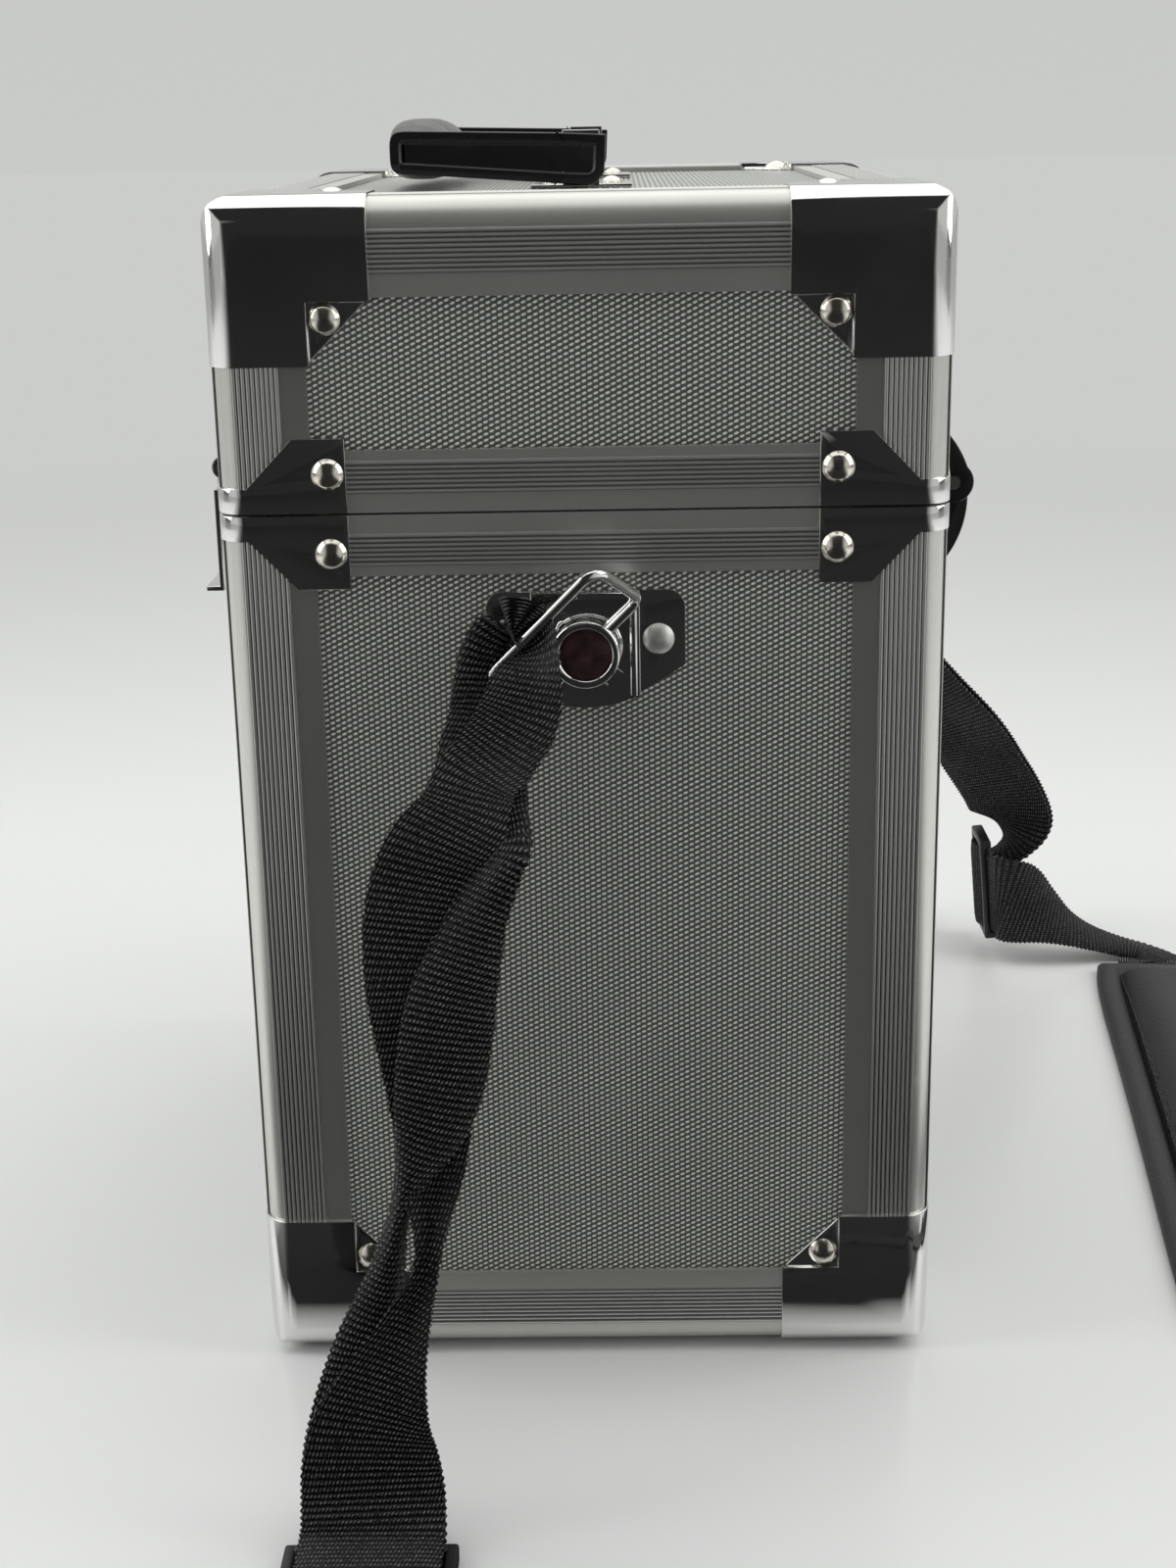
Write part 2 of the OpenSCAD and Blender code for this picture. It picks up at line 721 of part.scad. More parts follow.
module hasp() {
    knuckle = latch_w - 2 * side_knuckle - 2 * knuckle_gap;
    plate_w = latch_w - 2;
    low = z_split - hasp_drop;
    lip = 4;
    play = 0.6;
    difference() {
        union() {
            latch_barrel(-knuckle / 2, knuckle);
            translate([-knuckle / 2, hasp_out, z_split - 1])
                cube([knuckle, latch_t, hasp_pin_up + 1]);
            translate([-plate_w / 2, hasp_out, low])
                cube([plate_w, latch_t, z_split + 1 - low]);
            translate([-plate_w / 2, hasp_out - lip, low])
                cube([plate_w, lip + latch_t, latch_t]);
        }
        translate([-knuckle, hasp_y, hasp_z]) rotate([0, 90, 0])
            cylinder(h = 2 * knuckle, d = hasp_pin_d + 2 * run_play);
        translate([-staple_w / 2 - play, hasp_out - 1, z_split - staple_down - staple_h / 2 - play])
            cube([staple_w + 2 * play, latch_t + 2, staple_h + 2 * play]);
    }
}
module near_hasp() { color("lightgray") translate([latch_x, 0, 0]) hasp(); }
module far_hasp() { color("lightgray") translate([-latch_x, 0, 0]) hasp(); }
catch_low = z_split - catch_h;
latch_rivet_z = z_split - 35.5;
module at_latch_rivets() {
    at_latches() translate([0, -half_w, latch_rivet_z]) rotate([90, 0, 0]) children();
}
module latch_catch_plates() {
    step = body_top - mouth_h;
    color("lightgray") at_latches() difference() {
        union() {
            translate([-latch_w / 2, -half_w - latch_t, step - latch_t])
                cube([latch_w, latch_t, mouth_h - plate_up + latch_t]);
            translate([-latch_w / 2, -half_w + panel_recess - latch_t, catch_low])
                cube([latch_w, latch_t, step - catch_low - plate_play]);
            translate([-latch_w / 2, -half_w - latch_t, step - latch_t])
                cube([latch_w, panel_recess + latch_t, latch_t - plate_play]);
            translate([-staple_w / 2, hasp_out - 1, z_split - staple_down - staple_h / 2])
                cube([staple_w, -half_w - latch_t / 2 - hasp_out + 1, staple_h]);
        }
        translate([0, -half_w, latch_rivet_z]) rotate([90, 0, 0]) rivet_hole();
    }
}
module latch_rivets() {
    color("khaki") at_latch_rivets() rivet(latch_t - panel_recess, inner_face, latch_head_d, latch_head_h);
}

// Hinges: moulded leaves whose ribs run out to the knuckles, turning about a steel pin
hinge_y = half_w + hinge_pin_out;
mid_knuckle = hinge_w / 2;
end_knuckle = (hinge_w - mid_knuckle) / 2 - knuckle_gap;
module at_hinges() { each_end() translate([hinge_x, 0, 0]) children(); }
rib_clear = 0.2;
leaf_low = 1;
bow_chord = hinge_up + hinge_down;
bow_r = (bow_chord * bow_chord / 4 + hinge_bow * hinge_bow) / (2 * hinge_bow);
module hinge_rib(high) {
    intersection() {
        translate([half_w + hinge_bow - bow_r, high - bow_chord / 2]) circle(bow_r, $fn = 96);
        translate([half_w, 0]) square([hinge_bow, high]);
    }
}
// A leaf drawn upwards from the split, with ribs over its own stretches across, cleared for the others
module hinge_leaf(high, step, stretches, others) {
    difference() {
        union() {
            translate([-hinge_w / 2, half_w, leaf_low]) cube([hinge_w, leaf_t, high - leaf_low]);
            if (step > 0) translate([-hinge_w / 2, half_w - panel_recess, step])
                cube([hinge_w, leaf_t, high - step]);
            for (s = stretches) translate([s[0], 0, 0]) rotate([90, 0, 90]) linear_extrude(s[1] - s[0])
                difference() {
                    union() {
                        hinge_rib(high);
                        translate([hinge_y, 0]) circle(hinge_knuckle_r);
                    }
                    translate([half_w - big, -big]) square([big + rib_clear, 2 * big]);
                    translate([half_w - big, leaf_low - big]) square([big + leaf_low, big]);
                }
        }
        translate([-hinge_w, hinge_y, 0]) rotate([0, 90, 0])
            cylinder(h = 2 * hinge_w, d = hinge_pin_d + 2 * run_play);
        for (s = others) translate([s[0] - knuckle_gap, hinge_y, 0]) rotate([0, 90, 0])
            cylinder(h = s[1] - s[0] + 2 * knuckle_gap, r = hinge_knuckle_r + rib_clear);
    }
}
mid_stretch = [[-mid_knuckle / 2, mid_knuckle / 2]];
end_stretches = [[-hinge_w / 2, end_knuckle - hinge_w / 2], [hinge_w / 2 - end_knuckle, hinge_w / 2]];
module hinge_lid_leaves() {
    color("black") difference() {
        at_hinges() translate([0, 0, z_split]) hinge_leaf(hinge_up, 0, end_stretches, mid_stretch);
        at_hinge_rivets(1) rivet_hole();
    }
}
module hinge_body_leaves() {
    color("black") difference() {
        at_hinges() translate([0, 0, z_split]) mirror([0, 0, 1])
            hinge_leaf(hinge_down, mouth_h + split_gap, mid_stretch, end_stretches);
        at_hinge_rivets(-1) rivet_hole();
    }
}
hinge_pin_past = 0.8;
module hinge_pins() {
    color("silver") at_hinges() translate([-hinge_w / 2 - hinge_pin_past, hinge_y, z_split])
        rotate([0, 90, 0]) cylinder(h = hinge_w + 2 * hinge_pin_past, d = hinge_pin_d);
}
lid_hinge_rivet = [0.14 * hinge_w, 11];
body_hinge_rivet = [0.36 * hinge_w, -22];
module at_hinge_rivets(up) {
    x = (up > 0 ? lid_hinge_rivet : body_hinge_rivet)[0];
    z = z_split + (up > 0 ? lid_hinge_rivet : body_hinge_rivet)[1];
    at_hinges() for (s = [-1, 1]) translate([s * x, half_w, z]) rotate([-90, 0, 0]) children();
}
module hinge_lid_rivets() { color("khaki") at_hinge_rivets(1) rivet(leaf_t, rail_d, 6, 1.6); }
module hinge_body_rivets() {
    color("khaki") at_hinge_rivets(-1) rivet(leaf_t, inner_face, 6, 1.6);
}

// Strap lugs: a pressed plate with a bridge, riveted on; the button turns in the bridge
module at_lug_rivets() {
    each_end() for (s = [-1, 1]) translate([half_l, s * lug_rivet_y, lug_z + lug_rivet_up])
        rotate([0, 90, 0]) children();
}
module lug_wings() {
    top = lug_h / 2;
    wing_r = 5;
    wing_low = -5;
    foot_w = 32;
    foot_low = -12.4;
    union() {
        translate([-lug_w / 2, wing_low]) square([lug_w, top - wing_r - wing_low]);
        translate([wing_r - lug_w / 2, wing_low]) square([lug_w - 2 * wing_r, top - wing_low]);
        for (s = [-1, 1]) translate([s * (lug_w / 2 - wing_r), top - wing_r]) circle(wing_r);
        polygon([[-lug_w / 2, 0], [-lug_w / 2, wing_low], [-foot_w / 2, foot_low],
            [foot_w / 2, foot_low], [lug_w / 2, wing_low], [lug_w / 2, 0]]);
    }
}
module lug_plate() {
    pocket_w = bridge_w - 2 * lug_t;
    pocket_in = 6;
    lip_r = 33;
    bead_d = 2.6;
    bead_l = 26;
    bead_out = 0.5;
    bead_in = 0.4;
    difference() {
        union() {
            rotate([90, 0, 90]) linear_extrude(lug_t) lug_wings();
            rotate([90, 0, 90]) linear_extrude(bridge_out) intersection() {
                square([bridge_w, lug_h], center = true);
                translate([0, lip_r - lug_h / 2]) circle(lip_r);
            }
            for (s = [-1, 1])
                translate([bridge_out + bead_out - bead_d / 2, s * ((bridge_w - bead_d) / 2 - bead_in), 0])
                    cylinder(h = bead_l, d = bead_d, center = true);
        }
        translate([-1, -pocket_w / 2, pocket_in - lug_h / 2])
            cube([bridge_out - lug_t + 1, pocket_w, lug_h - 2 * pocket_in]);
        translate([-1, 0, 0]) rotate([0, 90, 0]) cylinder(h = 2 * bridge_out, d = stud_d + 2 * run_play);
    }
}
module lug_plates() {
    color("lightgray") difference() {
        each_end() translate([panel_x, 0, lug_z]) lug_plate();
        at_lug_rivets() rivet_hole();
    }
}
module lug_rivets() {
    color("khaki") at_lug_rivets() rivet(lug_t - panel_recess, inner_face, rivet_head_d, 2.2);
}

// A swivel button at the +X end, with a hole across it for the ring's ends
stud_clear = 0.5;
module button(turn) {
    rim = 1.8;
    dish = 0.6;
    flange = 2.5;
    translate([0, 0, lug_z]) {
        difference() {
            translate([button_in, 0, 0]) rotate([0, 90, 0]) cylinder(h = button_t, d = button_d);
            translate([button_in + button_t - dish, 0, 0]) rotate([0, 90, 0])
                cylinder(h = 2 * dish, d = button_d - 2 * rim);
            translate([button_mid, 0, 0]) rotate([turn, 0, 0])
                cylinder(h = 2 * button_d, d = ring_wire + 2 * run_play, center = true);
        }
        translate([panel_x + stud_clear, 0, 0]) rotate([0, 90, 0])
            cylinder(h = button_in - panel_x + stud_clear, d = stud_d);
        translate([panel_x + stud_clear, 0, 0]) rotate([0, 90, 0])
            cylinder(h = bridge_out - lug_t - 2 * stud_clear, d = stud_d + 2 * flange);
    }
}
module near_button() { color("lightgray") button(near_turn); }
module far_button() { color("lightgray") mirror([1, 0, 0]) button(far_turn); }

// A ring of bent wire, its ends in the button's hole, with a straight bar across its far side
ring_half = ring_in_w / 2 + ring_wire / 2;
ring_bend = 5;
neck_bend = 3.5;
module wire(long) { cylinder(h = long, d = ring_wire); }
module wire_bend(r, from) {
    rotate([90, 0, 0]) rotate([0, 0, from]) rotate_extrude(angle = 90)
        translate([r, 0]) circle(d = ring_wire);
}
module ring_side() {
    translate([0, 0, stub_in]) wire(ring_half - neck_bend - stub_in);
    translate([neck_bend, 0, ring_half - neck_bend]) wire_bend(neck_bend, 90);
    translate([neck_bend, 0, ring_half]) rotate([0, 90, 0]) wire(ring_reach - ring_bend - neck_bend);
    translate([ring_reach - ring_bend, 0, ring_half - ring_bend]) wire_bend(ring_bend, 0);
}

// A closed band swept along points, each with its own width direction and width. Both of its
// faces are split along the same diagonal, so that a twist leaves the band its thickness.
function unit(v) = v / norm(v);
function heading(p, i) = unit(p[min(i + 1, len(p) - 1)] - p[max(i - 1, 0)]);
function ring_of(p, i, wide, w, t) =
    let (h = heading(p, i), a = unit(wide - h * (wide * h)) * w / 2, b = unit(cross(h, wide)) * t / 2)
    [p[i] + a + b, p[i] - a + b, p[i] - a - b, p[i] + a - b];
module sweep(p, wide, w, t) {
    n = 4;
    count = len(p);
    points = [for (i = [0:count - 1]) each ring_of(p, i, wide[i], w[i], t)];
    sides = [for (i = [0:count - 2], k = [0:n - 1])
        let (a = i * n + k, b = i * n + (k + 1) % n) each (k == 2
            ? [[a, b, a + n], [b, b + n, a + n]]
            : [[a, b, b + n], [a, b + n, a + n]])];
    caps = [for (k = [1:n - 2]) each [[0, k + 1, k],
        [(count - 1) * n, (count - 1) * n + k, (count - 1) * n + k + 1]]];
    polyhedron(points, concat(sides, caps));
}

// A ring in its button at the +X end; its bar points along `turn` and stands out by the tilt
module ring(turn) {
    translate([button_mid, 0, lug_z]) rotate([turn, 0, 0]) rotate([0, 0, 90 - ring_tilt]) {
        for (s = [0, 1]) mirror([0, 0, s]) ring_side();
        translate([ring_reach, 0, ring_bend - ring_half]) wire(2 * (ring_half - ring_bend));
    }
}
module near_ring() { color("lightgray") ring(near_turn); }
module far_ring() { color("lightgray") mirror([1, 0, 0]) ring(far_turn); }

// Routes of the webbing, as rows of place, width direction and share of its width, chosen by hand
near_loop_route = [
    [[164.9, -18.4, 230.4], [4, 9, 4], 0.5], [[165.4, -19.6, 223.8], [3, 9, 2], 0.6],
    [[166.5, -21, 217.1], [4, 9, 1], 0.75], [[169.5, -23.7, 208], [6, 8, 0], 0.9],
    [[175, -26.8, 199.9], [7, 7, -1], 1], [[181, -29.7, 191.3], [7, 7, -1], 1],
    [[186, -33.2, 182.2], [4, 9, -1], 1], [[190.5, -37, 173.5], [1, 9, 0], 1],
    [[194, -39, 163.6], [1, 9, 0], 1], [[198, -40.4, 151.5], [3, 9, 0], 1],
    [[202, -40, 137.3], [6, 8, 0], 1], [[205, -40.4, 123.4], [7, 7, -2], 1],
    [[207.5, -41.8, 112], [8, 5, -1], 1], [[210, -43, 100.5], [9, 4, -1], 1],
    [[212, -44.2, 87.3], [9, 3, 0], 1], [[214, -46.6, 75.4], [9, 4, 1], 1],
    [[216, -50.1, 64.2], [9, 5, 1], 1], [[218.5, -54.1, 54], [8, 7, 1], 1],
    [[221, -57.7, 43.8], [6, 8, 1], 1], [[223, -60.2, 32.5], [4, 9, 1], 1],
    [[225.5, -60.6, 20.6], [2, 9, 1], 1], [[227.6, -59.8, 12], [1, 9, 0], 1],
    [[230.6, -59, 5.8], [0, 9, 0], 1], [[234.2, -59, 2.8], [0, 9, 0], 1], [[236.2, -59, 2.8], [0, 9, 0], 1]
];
floor_route = [
    [261.8, -59], [269, -59], [281, -54], [292, -43], [300, -25], [306, -2], [309, 22], [310, 48],
    [309, 74], [306, 100], [300, 126], [291, 151], [278, 173], [261, 191], [241, 204], [219, 210],
    [197, 211], [175, 210], [155, 210], [137.8, 211.8]
];
far_web_route = [
    [[-171.8, 244.3, 1.3], [0, 9, 0], 1], [[-177, 244.9, 1.5], [1, 9, 0], 0.75],
    [[-183.5, 243.8, 2.4], [-2, 9, 0], 0.5], [[-189, 239, 3.4], [-6, 6, 0], 0.45],
    [[-191, 230, 5.4], [-9, 3, 1], 0.45], [[-190, 219, 9.4], [-9, 1, 2], 0.5],
    [[-188.5, 208, 14.5], [-8, 1, 4], 0.55], [[-187.5, 197, 20.5], [-6, 1, 7], 0.7],
    [[-186.8, 187, 25.5], [-3, 0, 9], 0.9], [[-187, 178.5, 28.4], [0, 0, 9], 1],
    [[-188.6, 173.6, 29.3], [0, 0, 9], 1], [[-192.4, 171.5, 29.5], [0, -1, 11.4], 1],
    [[-196.2, 171.5, 29.5], [0, -1, 11.4], 1]
];
far_loop_route = [
    [[-160.3, 18, 214.4], [0, 4, 9], 1], [[-167, 32, 208.3], [1, 3, 9], 1],
    [[-176, 50, 200.8], [2, 2, 9], 1], [[-184, 72, 187], [2, 0, 9], 1],
    [[-190, 97, 166], [2, -2, 9], 1], [[-195, 122, 141], [2, -4, 8], 1],
    [[-197.5, 140, 123], [5, 0, 8], 1], [[-200, 156.9, 104.9], [6, 4, 6], 1],
    [[-207, 168.6, 87.1], [6, 6, 5], 1], [[-214, 179.5, 69.4], [6, 7, 4], 1],
    [[-219.5, 185, 56], [7, 6, 4], 1], [[-224, 185.5, 46], [8, 3, 3], 0.7],
    [[-230, 182.5, 38.5], [7, 0, 4], 0.5], [[-231, 177.5, 33], [3, 0, 8], 0.36],
    [[-229, 172.6, 30.2], [1.5, 0, 9], 0.36], [[-225.4, 171.5, 29.5], [0, -1, 11.4], 0.36],
    [[-221.8, 171.5, 29.5], [0, -1, 11.4], 0.36]
];
slider_near = [249, -59, slider_t / 2 + soft_gap];
slider_far = [-209, 171.5, 29.5];
slider_lean = 5;
pad_mid = [-17, 228];
pad_turn = -6;

module webbing(route, t) {
    color("black") sweep([for (q = route) q[0]], [for (q = route) q[1]],
        [for (q = route) q[2] * web_w], t);
}
module near_strap_loop() { webbing(near_loop_route, loop_t); }
module far_strap_loop() { webbing(far_loop_route, loop_t); }
module floor_webbing() {
    p = [for (q = floor_route) [q[0], q[1], strap_floor]];
    wide = [for (i = [0:len(p) - 1]) let (h = heading(p, i)) [-h[1], h[0], 0]];
    color("black") sweep(p, wide, [for (q = p) web_w], web_t);
}
module far_webbing() { webbing(far_web_route, web_t); }

// A three-bar slider, flat on the floor before it is placed
module slider() {
    bar = 4;
    cheek = 3.5;
    slot = (slider_l - 3 * bar) / 2;
    linear_extrude(slider_t, center = true) difference() {
        square([slider_l, slider_w], center = true);
        for (s = [-1, 1]) translate([s * (bar + slot) / 2, 0])
            square([slot, slider_w - 2 * cheek], center = true);
    }
}
module near_slider() { color("black") translate(slider_near) slider(); }
module far_slider() {
    color("black") translate(slider_far) rotate([90 + slider_lean, 0, 0]) slider();
}

// The shoulder pad: a crowned cushion with drawn-in sides, flat underneath
pad_along = 24;
pad_across = 12;
function pad_half_w(s) = pad_w / 2 - 3 * pow(abs(s), 8) - 1.2 * (1 - pow(abs(s), 2));
pad_edge_t = 2;
function pad_crown(u, power) = sqrt(max(0, 1 - pow(abs(u), power)));
function pad_high(s, t) = soft_gap + pad_edge_t + (pad_t - pad_edge_t) * pad_crown(t, 4) * pad_crown(s, 12);
function pad_point(i, j, top) =
    let (s = 2 * i / pad_along - 1, t = 2 * j / pad_across - 1)
    [s * (pad_l / 2 - 3 * pow(abs(t), 6)), t * pad_half_w(s), top ? pad_high(s, t) : soft_gap];
module shoulder_pad() {
    row = pad_across + 1;
    grid = (pad_along + 1) * row;
    points = [for (top = [true, false], i = [0:pad_along], j = [0:pad_across]) pad_point(i, j, top)];
    upper = [for (i = [0:pad_along - 1], j = [0:pad_across - 1]) let (a = i * row + j)
        each [[a, a + 1, a + row + 1], [a, a + row + 1, a + row]]];
    lower = [for (f = upper) [f[2] + grid, f[1] + grid, f[0] + grid]];
    ends = [for (j = [0:pad_across - 1], e = [0, 1]) let (a = e * pad_along * row + j)
        each (e == 0 ? [[a, a + grid, a + grid + 1], [a, a + grid + 1, a + 1]]
            : [[a, a + grid + 1, a + grid], [a, a + 1, a + grid + 1]])];
    sides = [for (i = [0:pad_along - 1], e = [0, 1]) let (a = i * row + e * pad_across, b = a + row)
        each (e == 0 ? [[a, b + grid, a + grid], [a, b, b + grid]]
            : [[a, a + grid, b + grid], [a, b + grid, b]])];
    color("black") translate([pad_mid[0], pad_mid[1], 0]) rotate([0, 0, pad_turn])
        polyhedron(points, concat(upper, lower, ends, sides));
}

body_posts();
body_bottom_rails();
body_mouth_rails();
body_front_panel();
body_back_panel();
body_end_panels();
body_floor_panel();
body_skins();
body_corners();
body_mouth_brackets();
body_corner_rivets();
body_bracket_rivets();
body_lining();
cross_divider();
side_divider();
lid_posts();
lid_top_rails();
lid_mouth_rails();
lid_top_panel();
lid_side_panels();
lid_skins();
lid_corners();
lid_mouth_brackets();
lid_corner_rivets();
lid_bracket_rivets();
lid_lining();
handle();
handle_brackets();
handle_pins();
handle_rivets();
latch_lid_plates();
latch_pins();
near_hasp();
far_hasp();
latch_catch_plates();
latch_rivets();
hinge_lid_leaves();
hinge_body_leaves();
hinge_pins();
hinge_lid_rivets();
hinge_body_rivets();
lug_plates();
lug_rivets();
near_button();
far_button();
near_ring();
far_ring();
near_strap_loop();
near_slider();
floor_webbing();
shoulder_pad();
far_webbing();
far_slider();
far_strap_loop();
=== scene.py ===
import json
import math
import random

import bmesh
import bpy
from mathutils import Matrix, Vector


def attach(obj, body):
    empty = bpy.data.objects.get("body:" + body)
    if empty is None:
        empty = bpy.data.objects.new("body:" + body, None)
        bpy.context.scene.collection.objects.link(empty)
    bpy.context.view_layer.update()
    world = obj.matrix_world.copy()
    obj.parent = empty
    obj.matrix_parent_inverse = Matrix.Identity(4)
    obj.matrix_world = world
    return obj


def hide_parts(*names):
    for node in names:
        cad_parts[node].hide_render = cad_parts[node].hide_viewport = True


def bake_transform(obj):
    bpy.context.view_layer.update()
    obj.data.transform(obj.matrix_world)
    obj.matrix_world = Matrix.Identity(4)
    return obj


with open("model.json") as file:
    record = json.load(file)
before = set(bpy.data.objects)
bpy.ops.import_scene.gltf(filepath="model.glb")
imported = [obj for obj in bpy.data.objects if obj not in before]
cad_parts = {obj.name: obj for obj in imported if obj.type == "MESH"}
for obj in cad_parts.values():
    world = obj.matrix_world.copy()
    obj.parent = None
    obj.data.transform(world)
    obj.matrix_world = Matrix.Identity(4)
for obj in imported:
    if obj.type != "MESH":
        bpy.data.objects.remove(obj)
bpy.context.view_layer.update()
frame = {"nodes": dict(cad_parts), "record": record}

nodes = frame["nodes"]
bodyOf = {n: b for b, members in frame["record"]["behaviour"]["bodies"].items() for n in members}
slotOf = {part["node"]: part["material_slot"] for part in frame["record"]["subparts"]}
bpy.ops.object.select_all(action="DESELECT")

photoView = {
    "place": (0.7368, 0.0104, 0.3662),
    "right": (-0.01201, 0.99977, -0.01786),
    "down": (0.29177, -0.01358, -0.95639),
    "forward": (-0.95641, -0.01669, -0.29154),
    "lens": 50.92,
    "sensor": 36,
    "clip": (0.01, 50),
}


def makeCamera():
    bpy.ops.object.camera_add()
    camera = bpy.context.object
    camera.name = "photoCamera"
    right, down, forward = (Vector(photoView[k]) for k in ("right", "down", "forward"))
    turn = Matrix((right, -down, -forward)).transposed().to_4x4()
    camera.matrix_world = Matrix.Translation(photoView["place"]) @ turn
    camera.data.lens = photoView["lens"]
    camera.data.sensor_width = photoView["sensor"]
    camera.data.clip_start, camera.data.clip_end = photoView["clip"]
    bpy.context.scene.camera = camera


makeCamera()
print("camera made")


# Small helpers for working in object and edit mode
def selectOnly(*objects):
    bpy.ops.object.select_all(action="DESELECT")
    for thing in objects:
        thing.select_set(True)
    bpy.context.view_layer.objects.active = objects[0]


def inEditMode(piece, kind, wanted, *steps):
    selectOnly(piece)
    mesh = piece.data
    for group in (mesh.vertices, mesh.edges, mesh.polygons):
        group.foreach_set("select", [False] * len(group))
    group = {"VERT": mesh.vertices, "EDGE": mesh.edges, "FACE": mesh.polygons}[kind]
    for part in group:
        part.select = bool(wanted(part))
    bpy.context.tool_settings.mesh_select_mode = [kind == k for k in ("VERT", "EDGE", "FACE")]
    bpy.ops.object.mode_set(mode="EDIT")
    for step in steps:
        step()
    bpy.ops.object.mode_set(mode="OBJECT")


def everything(part):
    return True


def applyModifier(piece, kind, **values):
    selectOnly(piece)
    modifier = piece.modifiers.new(kind.lower(), kind)
    for key, value in values.items():
        setattr(modifier, key, value)
    bpy.ops.object.modifier_apply(modifier=modifier.name)


def smoothByAngle(piece, degrees=35):
    selectOnly(piece)
    bpy.ops.object.shade_smooth_by_angle(angle=math.radians(degrees))


def bakePlace(piece):
    selectOnly(piece)
    bpy.ops.object.transform_apply(location=True, rotation=True, scale=True)


def joined(name, pieces):
    selectOnly(*pieces)
    if len(pieces) > 1:
        bpy.ops.object.join()
    whole = bpy.context.view_layer.objects.active
    whole.name = whole.data.name = name
    return whole


def finishPiece(piece, body, material, slot, *stoodFor):
    piece.data.materials.clear()
    piece.data.materials.append(material)
    if body:
        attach(piece, body)
    if stoodFor:
        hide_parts(*stoodFor)
    return piece


# Node trees. A value is a number, a colour or vector in a tuple, or a socket to link from
def feed(tree, socket, value):
    if isinstance(value, bpy.types.NodeSocket):
        tree.links.new(value, socket)
    elif isinstance(value, tuple) and len(value) < len(socket.default_value):
        socket.default_value = (*value, 1)
    else:
        socket.default_value = value


def addNode(tree, kind, **values):
    node = tree.nodes.new(kind)
    for key, value in values.items():
        if hasattr(node, key):
            setattr(node, key, value)
        else:
            feed(tree, node.inputs[key.replace("_", " ")], value)
    return node


def calc(tree, operation, *values, clamp=False):
    node = addNode(tree, "ShaderNodeMath", operation=operation, use_clamp=clamp)
    for socket, value in zip(node.inputs, values):
        feed(tree, socket, value)
    return node.outputs[0]


def ramp(tree, value, stops):
    node = tree.nodes.new("ShaderNodeValToRGB")
    marks = node.color_ramp.elements
    while len(marks) < len(stops):
        marks.new(0.5)
    for mark, (place, shade) in zip(marks, stops):
        mark.position = place
        mark.color = (*shade, 1) if isinstance(shade, tuple) else (shade, shade, shade, 1)
    tree.links.new(value, node.inputs[0])
    return node.outputs[0]


def mapRange(tree, value, low, high, top=1.0):
    node = addNode(tree, "ShaderNodeMapRange", Value=value, From_Min=low, From_Max=high, To_Max=top)
    return node.outputs[0]


def mixColours(tree, share, first, second):
    node = addNode(tree, "ShaderNodeMix", data_type="RGBA")
    for place, value in ((0, share), (6, first), (7, second)):  # the sockets of a colour mix
        feed(tree, node.inputs[place], value)
    return node.outputs[2]


def noise(tree, vector, **values):
    return addNode(tree, "ShaderNodeTexNoise", Vector=vector, **values).outputs[0]


def separate(tree, vector):
    node = tree.nodes.new("ShaderNodeSeparateXYZ")
    tree.links.new(vector, node.inputs[0])
    return node.outputs


# A shader group with a vector and some numbers going in, numbers coming out
def newGroup(name, inputs, outputs):
    group = bpy.data.node_groups.new(name, "ShaderNodeTree")
    group.interface.new_socket(name="Vector", in_out="INPUT", socket_type="NodeSocketVector")
    for label, default in inputs.items():
        socket = group.interface.new_socket(name=label, in_out="INPUT", socket_type="NodeSocketFloat")
        socket.default_value = default
    for label in outputs:
        group.interface.new_socket(name=label, in_out="OUTPUT", socket_type="NodeSocketFloat")
    start = group.nodes.new("NodeGroupInput")
    end = group.nodes.new("NodeGroupOutput")
    return group, start.outputs, end.inputs


def useGroup(tree, group, vector, **values):
    return addNode(tree, "ShaderNodeGroup", node_tree=group, Vector=vector, **values).outputs


def newMaterial(name, colour, metallic, roughness, **fixed):
    material = bpy.data.materials.new(name)
    material.use_nodes = True
    tree = material.node_tree
    shader = tree.nodes["Principled BSDF"]
    values = {"Base Color": colour, "Metallic": metallic, "Roughness": roughness, **fixed}
    for key, value in values.items():
        feed(tree, shader.inputs[key.replace("_", " ")], value)
    return material, tree, shader


def addBump(tree, shader, height, strength, distance):
    bump = addNode(tree, "ShaderNodeBump", Height=height, Strength=strength, Distance=distance)
    tree.links.new(bump.outputs[0], shader.inputs["Normal"])


def paint(tree, shader, value, stops):
    tree.links.new(ramp(tree, value, stops), shader.inputs["Base Color"])


markLook = {"smears": [(0.42, 0.0), (0.72, 1.0)], "scratches": [(0.66, 0.0), (0.74, 1.0)],
            "turn": (0.4, 0.7, 0.5), "stretch": (1.0, 0.05, 1.0), "scratchRough": 0.1, "smearTone": 0.12}


# Handling marks: soft smears and short fine scratches, as values from 0 to 1
def makeHandlingMarks():
    group, given, made = newGroup("handlingMarks", {"Smear Size": 30.0, "Scratch Size": 300.0},
                                  ["Smears", "Scratches"])
    smear = noise(group, given["Vector"], Scale=given["Smear Size"], Detail=4.0, Roughness=0.6)
    group.links.new(ramp(group, smear, markLook["smears"]), made["Smears"])
    turned = addNode(group, "ShaderNodeMapping", Vector=given["Vector"], Rotation=markLook["turn"],
                     Scale=markLook["stretch"])
    scratch = noise(group, turned.outputs[0], Scale=given["Scratch Size"], Detail=2.0, Roughness=0.5)
    group.links.new(ramp(group, scratch, markLook["scratches"]), made["Scratches"])
    return group


